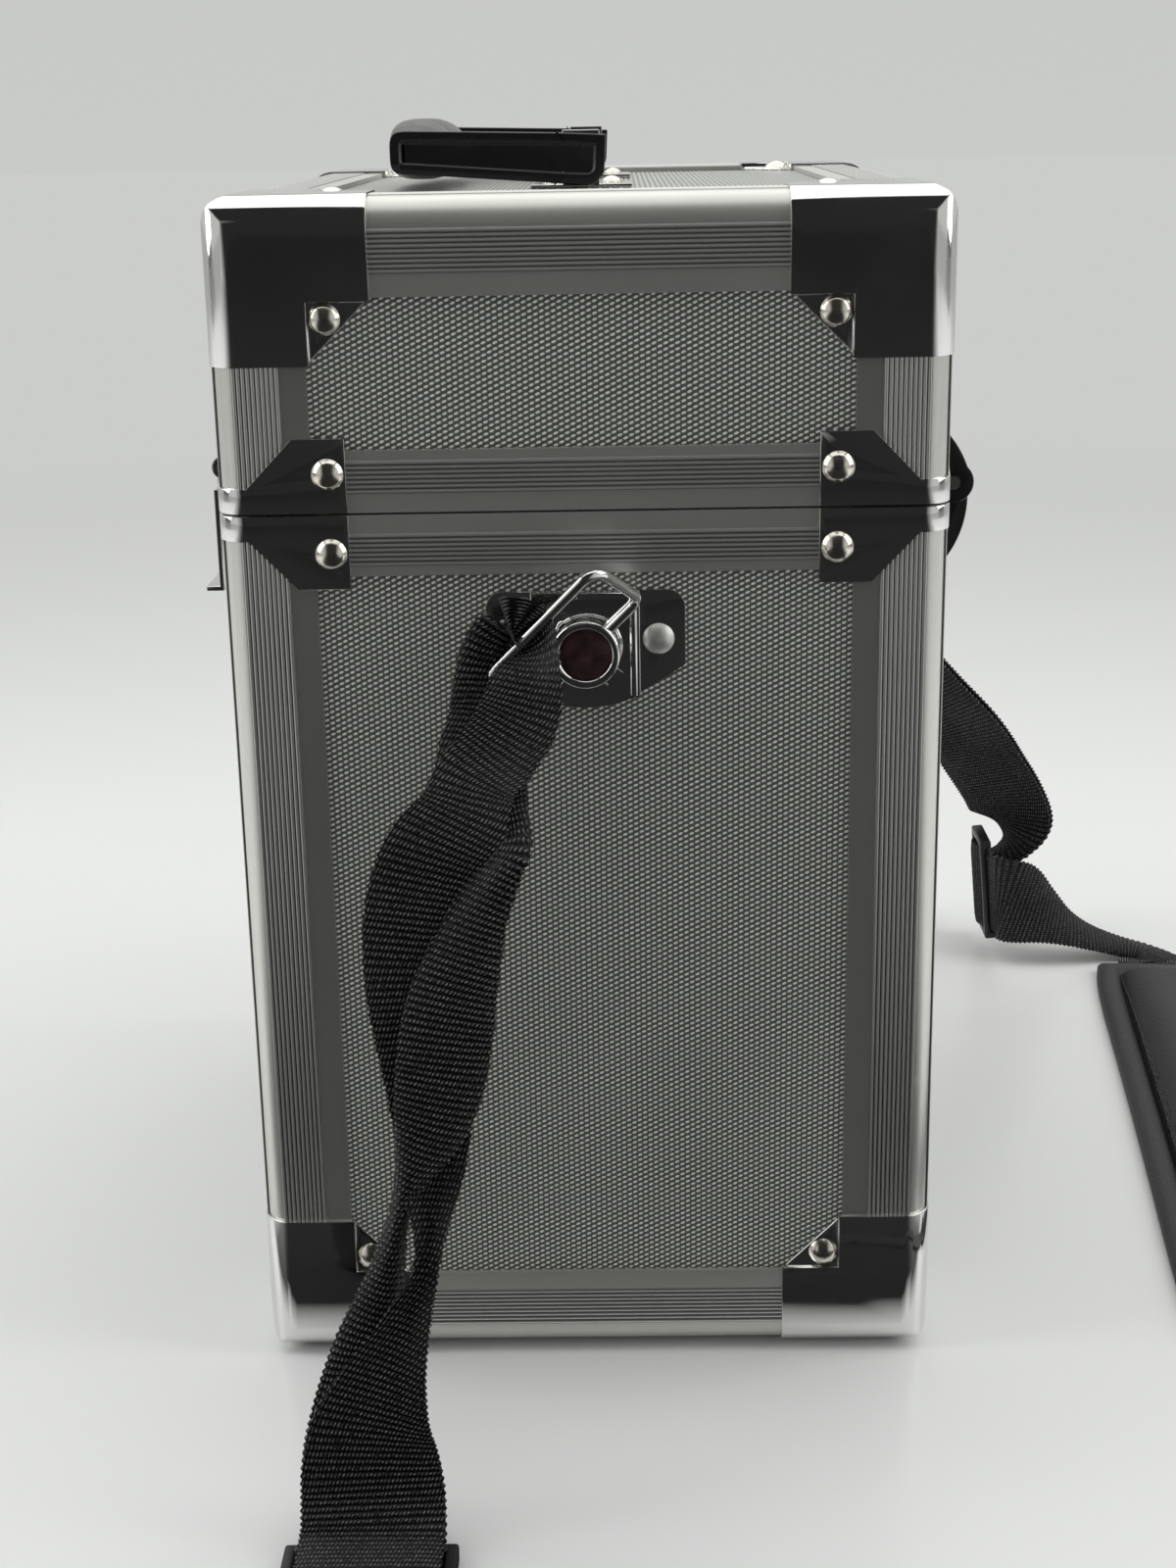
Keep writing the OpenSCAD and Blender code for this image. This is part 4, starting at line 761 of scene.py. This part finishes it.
# The shoulder pad: a crowned cushion with a flat border, a sewn seam inside it and shallow creases
def makePad():
    size = padSize
    alongCount, acrossCount = size["along"], size["across"]
    bm = bmesh.new()
    random.seed(5)
    waves = [(random.uniform(60, 140), random.uniform(-40, 40), random.uniform(0, 6.3)) for _ in range(6)]

    def point(i, j, top):
        s, t = 2 * i / alongCount - 1, 2 * j / acrossCount - 1
        half = size["wide"] / 2 - size["round"] * abs(s) ** 8 - size["waist"] * (1 - s * s)
        x, y = s * (size["long"] / 2 - size["round"] * abs(t) ** 6), t * half
        if not top:
            return x, y, size["lift"]
        inEdge = min(half - abs(y), size["long"] / 2 - abs(x))
        body = max(0.0, min(1.0, (inEdge - size["seamIn"]) / size["slope"]))
        rise = math.sin(body * math.pi / 2) ** 0.8
        piping = size["piping"] * math.sin(math.pi * min(1, inEdge / size["seamIn"])) ** 0.7
        groove = size["groove"] * math.exp(-((inEdge - size["seamIn"]) / size["groove"]) ** 2)
        crease = sum(math.sin(x * a + y * b + c) for a, b, c in waves) * size["crease"] * rise
        cushion = (size["thick"] - size["edge"] - size["crown"]) * rise
        return x, y, size["lift"] + (size["edge"] + piping) + cushion - groove + crease

    top = [[bm.verts.new(point(i, j, True)) for j in range(acrossCount + 1)] for i in range(alongCount + 1)]
    low = [[bm.verts.new(point(i, j, False)) for j in range(acrossCount + 1)] for i in range(alongCount + 1)]
    for i in range(alongCount):
        for j in range(acrossCount):
            bm.faces.new((top[i][j], top[i + 1][j], top[i + 1][j + 1], top[i][j + 1]))
            bm.faces.new((low[i][j], low[i][j + 1], low[i + 1][j + 1], low[i + 1][j]))
    rim = [(i, 0) for i in range(alongCount)] + [(alongCount, j) for j in range(acrossCount)]
    rim += [(i, acrossCount) for i in range(alongCount, 0, -1)] + [(0, j) for j in range(acrossCount, 0, -1)]
    for (i, j), (k, m) in zip(rim, rim[1:] + rim[:1]):
        bm.faces.new((top[i][j], low[i][j], low[k][m], top[k][m]))
    pad = pieceFrom(bm, "shoulderPad")
    placePiece(pad, size["place"], Matrix.Rotation(math.radians(size["turn"]), 4, "Z"))
    smoothByAngle(pad, 60)
    finishPiece(pad, "case", materials["pad_leather"], "pad_leather", "shoulder_pad")
    return pad


strapLengths = {"nearLoop": makeLoop("near"), "farLoop": makeLoop("far"),
                "shoulderStrap": makeShoulderStrap()}
print("straps made:", {k: round(v, 3) for k, v in strapLengths.items()})


cleanUp = {"merge": 0.000002, "flat": 1, "sharp": 30, "smooth": 35}


# A copy of a node with its loose triangles merged, its sharp edges eased and its curves shaded smooth
def softened(node, name, width, shape=None):
    mesh = nodes[node].data.copy()
    mesh.name = name
    piece = bpy.data.objects.new(name, mesh)
    bpy.context.collection.objects.link(piece)
    selectOnly(piece)
    if mesh.has_custom_normals:
        bpy.ops.mesh.customdata_custom_splitnormals_clear()
    inEditMode(piece, "VERT", everything, lambda: bpy.ops.mesh.remove_doubles(threshold=cleanUp["merge"]),
               lambda: bpy.ops.mesh.dissolve_limited(angle_limit=math.radians(cleanUp["flat"])))
    if shape:
        shape(piece)
    if width:
        applyModifier(piece, "BEVEL", width=width, segments=2, limit_method="ANGLE",
                      angle_limit=math.radians(cleanUp["sharp"]), use_clamp_overlap=False)
    smoothByAngle(piece, cleanUp["smooth"])
    finishPiece(piece, bodyOf[node], materials[slotOf[node]], slotOf[node], node)
    return piece


handleShape = {"inset": 0.0026, "groove": 0.0007, "deep": 0.0008, "gripFrom": 0.0615, "gripFlat": 0.84,
               "blunt": 0.001, "square": 4, "outerSkin": 0.0001}


# A sunk field on each arm's outer face, a squarer nose and a flatter grip
def shapeHandle(piece):
    size = handleShape
    reach = max(v.co.x for v in piece.data.vertices)
    grip = [v for v in piece.data.vertices if abs(v.co.x) < size["gripFrom"]]
    middle = sum((v.co for v in grip), Vector()) / len(grip)
    power = size["square"]
    for v in piece.data.vertices:
        away = Vector((v.co.y - middle.y, v.co.z - middle.z))
        if v.co.y < middle.y and away.length > size["blunt"]:
            square = (abs(away.x) ** power + abs(away.y) ** power) ** (1 / power) / away.length
            v.co.y, v.co.z = middle.y + away.x / square, middle.z + away.y / square
    for v in grip:
        v.co.z = middle.z + (v.co.z - middle.z) * size["gripFlat"]
    outer = reach - size["outerSkin"]
    inEditMode(piece, "FACE", lambda f: abs(f.normal.x) > 0.99 and abs(f.center.x) > outer,
               lambda: bpy.ops.mesh.inset(thickness=size["inset"], depth=0),
               lambda: bpy.ops.mesh.inset(thickness=size["groove"], depth=-size["deep"]))


# Nodes drawn again with eased edges: the piece's name, the bevel's width, and a change of shape if any
easedEdges = {
    "body_corners": ("bodyCorners", 0.0004), "lid_corners": ("lidCorners", 0.0004),
    "body_mouth_brackets": ("bodyMouthBrackets", 0.0003), "lid_mouth_brackets": ("lidMouthBrackets", 0.0003),
    "handle_brackets": ("handleBrackets", 0.0004), "latch_lid_plates": ("latchLidPlates", 0.0003),
    "latch_catch_plates": ("latchCatchPlates", 0.0003), "near_hasp": ("nearHasp", 0.0003),
    "far_hasp": ("farHasp", 0.0003), "hinge_lid_leaves": ("hingeLidLeaves", 0.0005),
    "hinge_body_leaves": ("hingeBodyLeaves", 0.0005), "lug_plates": ("lugPlates", 0.00025),
    "near_button": ("nearButton", 0.0003), "far_button": ("farButton", 0.0003),
    "handle": ("carryHandle", 0.0003, shapeHandle),
}
for node, how in easedEdges.items():
    softened(node, *how)
print("edges eased")

buttonFace = {"radius": 0.0072, "thick": 0.0011, "soft": 0.0004, "out": 0.0003, "rim": 0.0084,
              "rimThick": 0.0012, "rimSunk": 0.4, "rimFlat": 0.8}


# The dark disc set in each button's dish, and the chrome rim around it
def makeButtonFace(node, name):
    size = buttonFace
    corners = [v.co for v in nodes[node].data.vertices]
    side = 1 if corners[0].x > 0 else -1
    reach = max(abs(c.x) for c in corners)
    middle = (max(c.z for c in corners) + min(c.z for c in corners)) / 2
    place = (side * (reach - size["out"] - size["thick"] / 2), 0, middle)
    bpy.ops.mesh.primitive_cylinder_add(vertices=64, radius=size["radius"], depth=size["thick"],
                                        location=place, rotation=(0, math.pi / 2, 0))
    disc = bpy.context.object
    disc.name = disc.data.name = name
    bakePlace(disc)
    applyModifier(disc, "BEVEL", width=size["soft"], segments=3, limit_method="ANGLE")
    smoothByAngle(disc, 40)
    finishPiece(disc, bodyOf[node], materials["button_face"], "black_plastic")
    place = (side * (reach - size["rimThick"] * size["rimSunk"]), 0, middle)
    bpy.ops.mesh.primitive_torus_add(major_segments=96, minor_segments=16, major_radius=size["rim"],
                                     minor_radius=size["rimThick"], location=place,
                                     rotation=(0, math.pi / 2, 0))
    rim = bpy.context.object
    rim.name = rim.data.name = name + "Rim"
    bakePlace(rim)
    flatten = Matrix.Translation(place) @ Matrix.Diagonal((size["rimFlat"], 1, 1, 1))
    rim.data.transform(flatten @ Matrix.Translation(place).inverted())
    smoothByAngle(rim, 60)
    finishPiece(rim, bodyOf[node], materials["chrome"], "chrome")


makeButtonFace("near_button", "nearButtonFace")
makeButtonFace("far_button", "farButtonFace")
print("button faces made")


# A map in metres for the embossing, laid on each face from its front
def mapFlat(piece):
    mesh = piece.data
    layer = mesh.uv_layers.get("lay") or mesh.uv_layers.new(name="lay")
    for polygon in mesh.polygons:
        n = [abs(x) for x in polygon.normal]
        flatAxes = {0: (1, 2), 1: (0, 2), 2: (1, 0)}[n.index(max(n))]
        for i in polygon.loop_indices:
            place = mesh.vertices[mesh.loops[i].vertex_index].co
            layer.data[i].uv = (place[flatAxes[0]], place[flatAxes[1]])


for node, name in (("body_skins", "bodySkins"), ("lid_skins", "lidSkins")):
    mapFlat(softened(node, name, 0))
print("skins mapped")


caseSize = {"halfLong": 0.135, "halfWide": 0.1, "low": 0.0019, "top": 0.3449, "split": 0.2609,
            "gap": 0.0003, "capLeg": 0.04405, "bracketReach": 0.03555, "tab": 0.003}
ribSize = {"pitch": 0.0013, "high": 0.00042, "shoulder": 0.8, "sunk": 0.0004, "postStart": 0.0056,
           "postRibs": 10, "railStart": 0.0082, "railRibs": 9, "mouthStart": 0.0055, "mouthRibs": 7}


# Extruded ribs: a grid with its lines raised by turns, given a back and laid on a rail's face
def ribStrip(start, along, across, long, ribs):
    wide = ribs * ribSize["pitch"]
    bpy.ops.mesh.primitive_grid_add(x_subdivisions=ribs * 4, y_subdivisions=1, size=1)
    strip = bpy.context.object
    layer = strip.data.uv_layers[0]
    layer.name = "lay"
    for spot in layer.data:
        spot.uv.x *= ribs
    strip.data.transform(Matrix.Diagonal((wide, long, 1, 1)))
    for quarters, high in (((2,), ribSize["high"]), ((1, 3), ribSize["high"] * ribSize["shoulder"])):
        inEditMode(strip, "VERT", lambda v: round((v.co.x / wide + 0.5) * ribs * 4) % 4 in quarters,
                   lambda: bpy.ops.transform.translate(value=(0, 0, high)))
    applyModifier(strip, "SOLIDIFY", thickness=ribSize["sunk"], offset=-1)
    frameOf = Matrix((across, along, across.cross(along))).transposed().to_4x4()
    strip.data.transform(Matrix.Translation(start + across * wide / 2 + along * long / 2) @ frameOf)
    return strip


# The strip again, turned end for end where its ribs would otherwise face inwards
def facing(place, along, across, long, ribs, out):
    if across.cross(along).dot(out) < 0:
        place = place + along * long
        along = -along
    return ribStrip(place, along, across, long, ribs)


# Two rows of ribs on each post and rail, for the case and for the lid
def makeRailRibs():
    c, r = caseSize, ribSize
    posts, rails = {"case": [], "lid": []}, {"case": [], "lid": []}
    up = Vector((0, 0, 1))
    ends = [(Vector((sx, 0, 0)), c["halfLong"], Vector((0, 1, 0)), c["halfWide"]) for sx in (-1, 1)]
    sides = [(Vector((0, sy, 0)), c["halfWide"], Vector((1, 0, 0)), c["halfLong"]) for sy in (-1, 1)]
    for out, reach, way, half in ends + sides:
        face = out * reach
        for s in (-1, 1):
            edge = face + way * s * (half - r["postStart"])
            spans = (("case", c["low"] + c["capLeg"], c["split"] - c["gap"] - c["tab"]),
                     ("lid", c["split"] + c["gap"] + c["tab"], c["top"] - c["capLeg"]))
            for body, low, high in spans:
                posts[body].append(facing(edge + up * low, up, -way * s, high - low, r["postRibs"], out))
        long = 2 * (half - c["capLeg"])
        left = face - way * (half - c["capLeg"])
        inner = left - out * r["railStart"]
        for body, edge, inward in (("case", c["low"], up), ("lid", c["top"], -up)):
            start = left + up * edge + inward * r["railStart"]
            rails[body].append(facing(start, way, inward, long, r["railRibs"], out))
            rails[body].append(facing(inner + up * edge, way, -out, long, r["railRibs"], -inward))
        long = 2 * (half - c["bracketReach"])
        left = face - way * (half - c["bracketReach"]) + up * c["split"]
        for body, outward in (("case", -up), ("lid", up)):
            start = left + outward * r["mouthStart"]
            rails[body].append(facing(start, way, outward, long, r["mouthRibs"], out))
    for parts, kind in ((posts, "Post"), (rails, "Rail")):
        for body in parts:
            whole = joined(body + kind + "Ribs", parts[body])
            smoothByAngle(whole, 80)
            finishPiece(whole, body, materials["ribbed" + kind], "rail_aluminium")


makeRailRibs()
print("rail ribs made")


# Pairs are the two ends of a ramp: the first gives 0, the second 1
studio = {"floorHalf": 15.0, "floorShade": (0.78, 0.79, 0.78), "sky": (0.56, 0.57, 0.55),
          "skyLow": (0.6, 0.61, 0.59), "dark": (0.022, 0.022, 0.022), "diffuse": (0.42, 0.42, 0.42),
          "fade": (0.5, 1.8), "ahead": (0.148, 0.172), "wedge": (0.9, 0.5), "wedgeFrom": 0.3,
          "floorRough": 0.25, "floorShine": 0.3, "height": (-0.3, 0.5), "behind": (0.05, 0.35),
          "middle": (0.75, 0.45), "flag": (0.3, 0.18), "flagShare": 0.8}


# The floor: in mirrors a dark wedge in front of the case, and to the camera a wall's tone far away
def makeFloor():
    bpy.ops.mesh.primitive_plane_add(size=2 * studio["floorHalf"], location=(0, 0, 0))
    floor = bpy.context.object
    floor.name = "studioFloor"
    material, tree, shader = newMaterial("studioFloor", studio["floorShade"], 0.0, studio["floorRough"],
                                         Specular_IOR_Level=studio["floorShine"])
    place = separate(tree, objectCoordinates(tree))
    rays = tree.nodes.new("ShaderNodeLightPath")
    aside = calc(tree, "DIVIDE", calc(tree, "ABSOLUTE", place[1]),
                 calc(tree, "ADD", place[0], studio["wedgeFrom"]))
    wedge = calc(tree, "MULTIPLY", mapRange(tree, place[0], *studio["ahead"]),
                 mapRange(tree, aside, *studio["wedge"]))
    dark = calc(tree, "MULTIPLY", wedge, rays.outputs["Is Glossy Ray"])
    tree.links.new(mixColours(tree, dark, studio["floorShade"], studio["dark"]), shader.inputs["Base Color"])
    reach = addNode(tree, "ShaderNodeVectorMath", operation="LENGTH")
    tree.links.new(objectCoordinates(tree), reach.inputs[0])
    far = mapRange(tree, reach.outputs["Value"], *studio["fade"])
    wall = addNode(tree, "ShaderNodeEmission", Color=studio["skyLow"])
    both = tree.nodes.new("ShaderNodeMixShader")
    for socket, value in zip(both.inputs, (calc(tree, "MULTIPLY", far, rays.outputs["Is Camera Ray"]),
                                           shader.outputs[0], wall.outputs[0])):
        tree.links.new(value, socket)
    tree.links.new(both.outputs[0], tree.nodes["Material Output"].inputs["Surface"])
    floor.data.materials.append(material)


# The room: in mirrors dark behind the camera and in a narrow flag at each side
def makeWorld():
    world = bpy.data.worlds.new("studioWorld")
    bpy.context.scene.world = world
    world.use_nodes = True
    tree = world.node_tree
    rays = tree.nodes.new("ShaderNodeLightPath")
    way = separate(tree, tree.nodes.new("ShaderNodeTexCoord").outputs["Generated"])
    wall = mixColours(tree, mapRange(tree, way[2], *studio["height"]), studio["skyLow"], studio["sky"])
    middle = mapRange(tree, calc(tree, "ABSOLUTE", way[1]), *studio["middle"])
    behind = calc(tree, "MULTIPLY", mapRange(tree, way[0], *studio["behind"]), middle)
    flag = mapRange(tree, calc(tree, "ABSOLUTE", way[0]), *studio["flag"], studio["flagShare"])
    dark = calc(tree, "MAXIMUM", behind, flag)
    seen = mixColours(tree, calc(tree, "MULTIPLY", dark, rays.outputs["Is Glossy Ray"]), wall, studio["dark"])
    lit = mixColours(tree, rays.outputs["Is Diffuse Ray"], seen, studio["diffuse"])
    tree.links.new(lit, tree.nodes["Background"].inputs["Color"])


lampAim = Vector((0, 0, 0.2))
lamps = {
    "leftLamp": {"place": (0.1, -1.3, 0.9), "size": (0.9, 1.2), "power": 9},
    "rightLamp": {"place": (0.1, 1.3, 0.9), "size": (0.9, 1.2), "power": 9},
    "topLamp": {"place": (-0.35, 0, 1.5), "size": (1.9, 1.9), "power": 13},
}


def makeLamps():
    for name, lamp in lamps.items():
        bpy.ops.object.light_add(type="AREA", location=lamp["place"])
        light = bpy.context.object
        light.name = name
        light.data.shape = "RECTANGLE"
        light.data.size, light.data.size_y = lamp["size"]
        light.data.energy = lamp["power"]
        light.rotation_euler = (lampAim - Vector(lamp["place"])).to_track_quat("-Z", "Y").to_euler()


makeFloor()
makeWorld()
makeLamps()
bpy.context.scene.view_settings.view_transform = "Standard"
print("stage made")
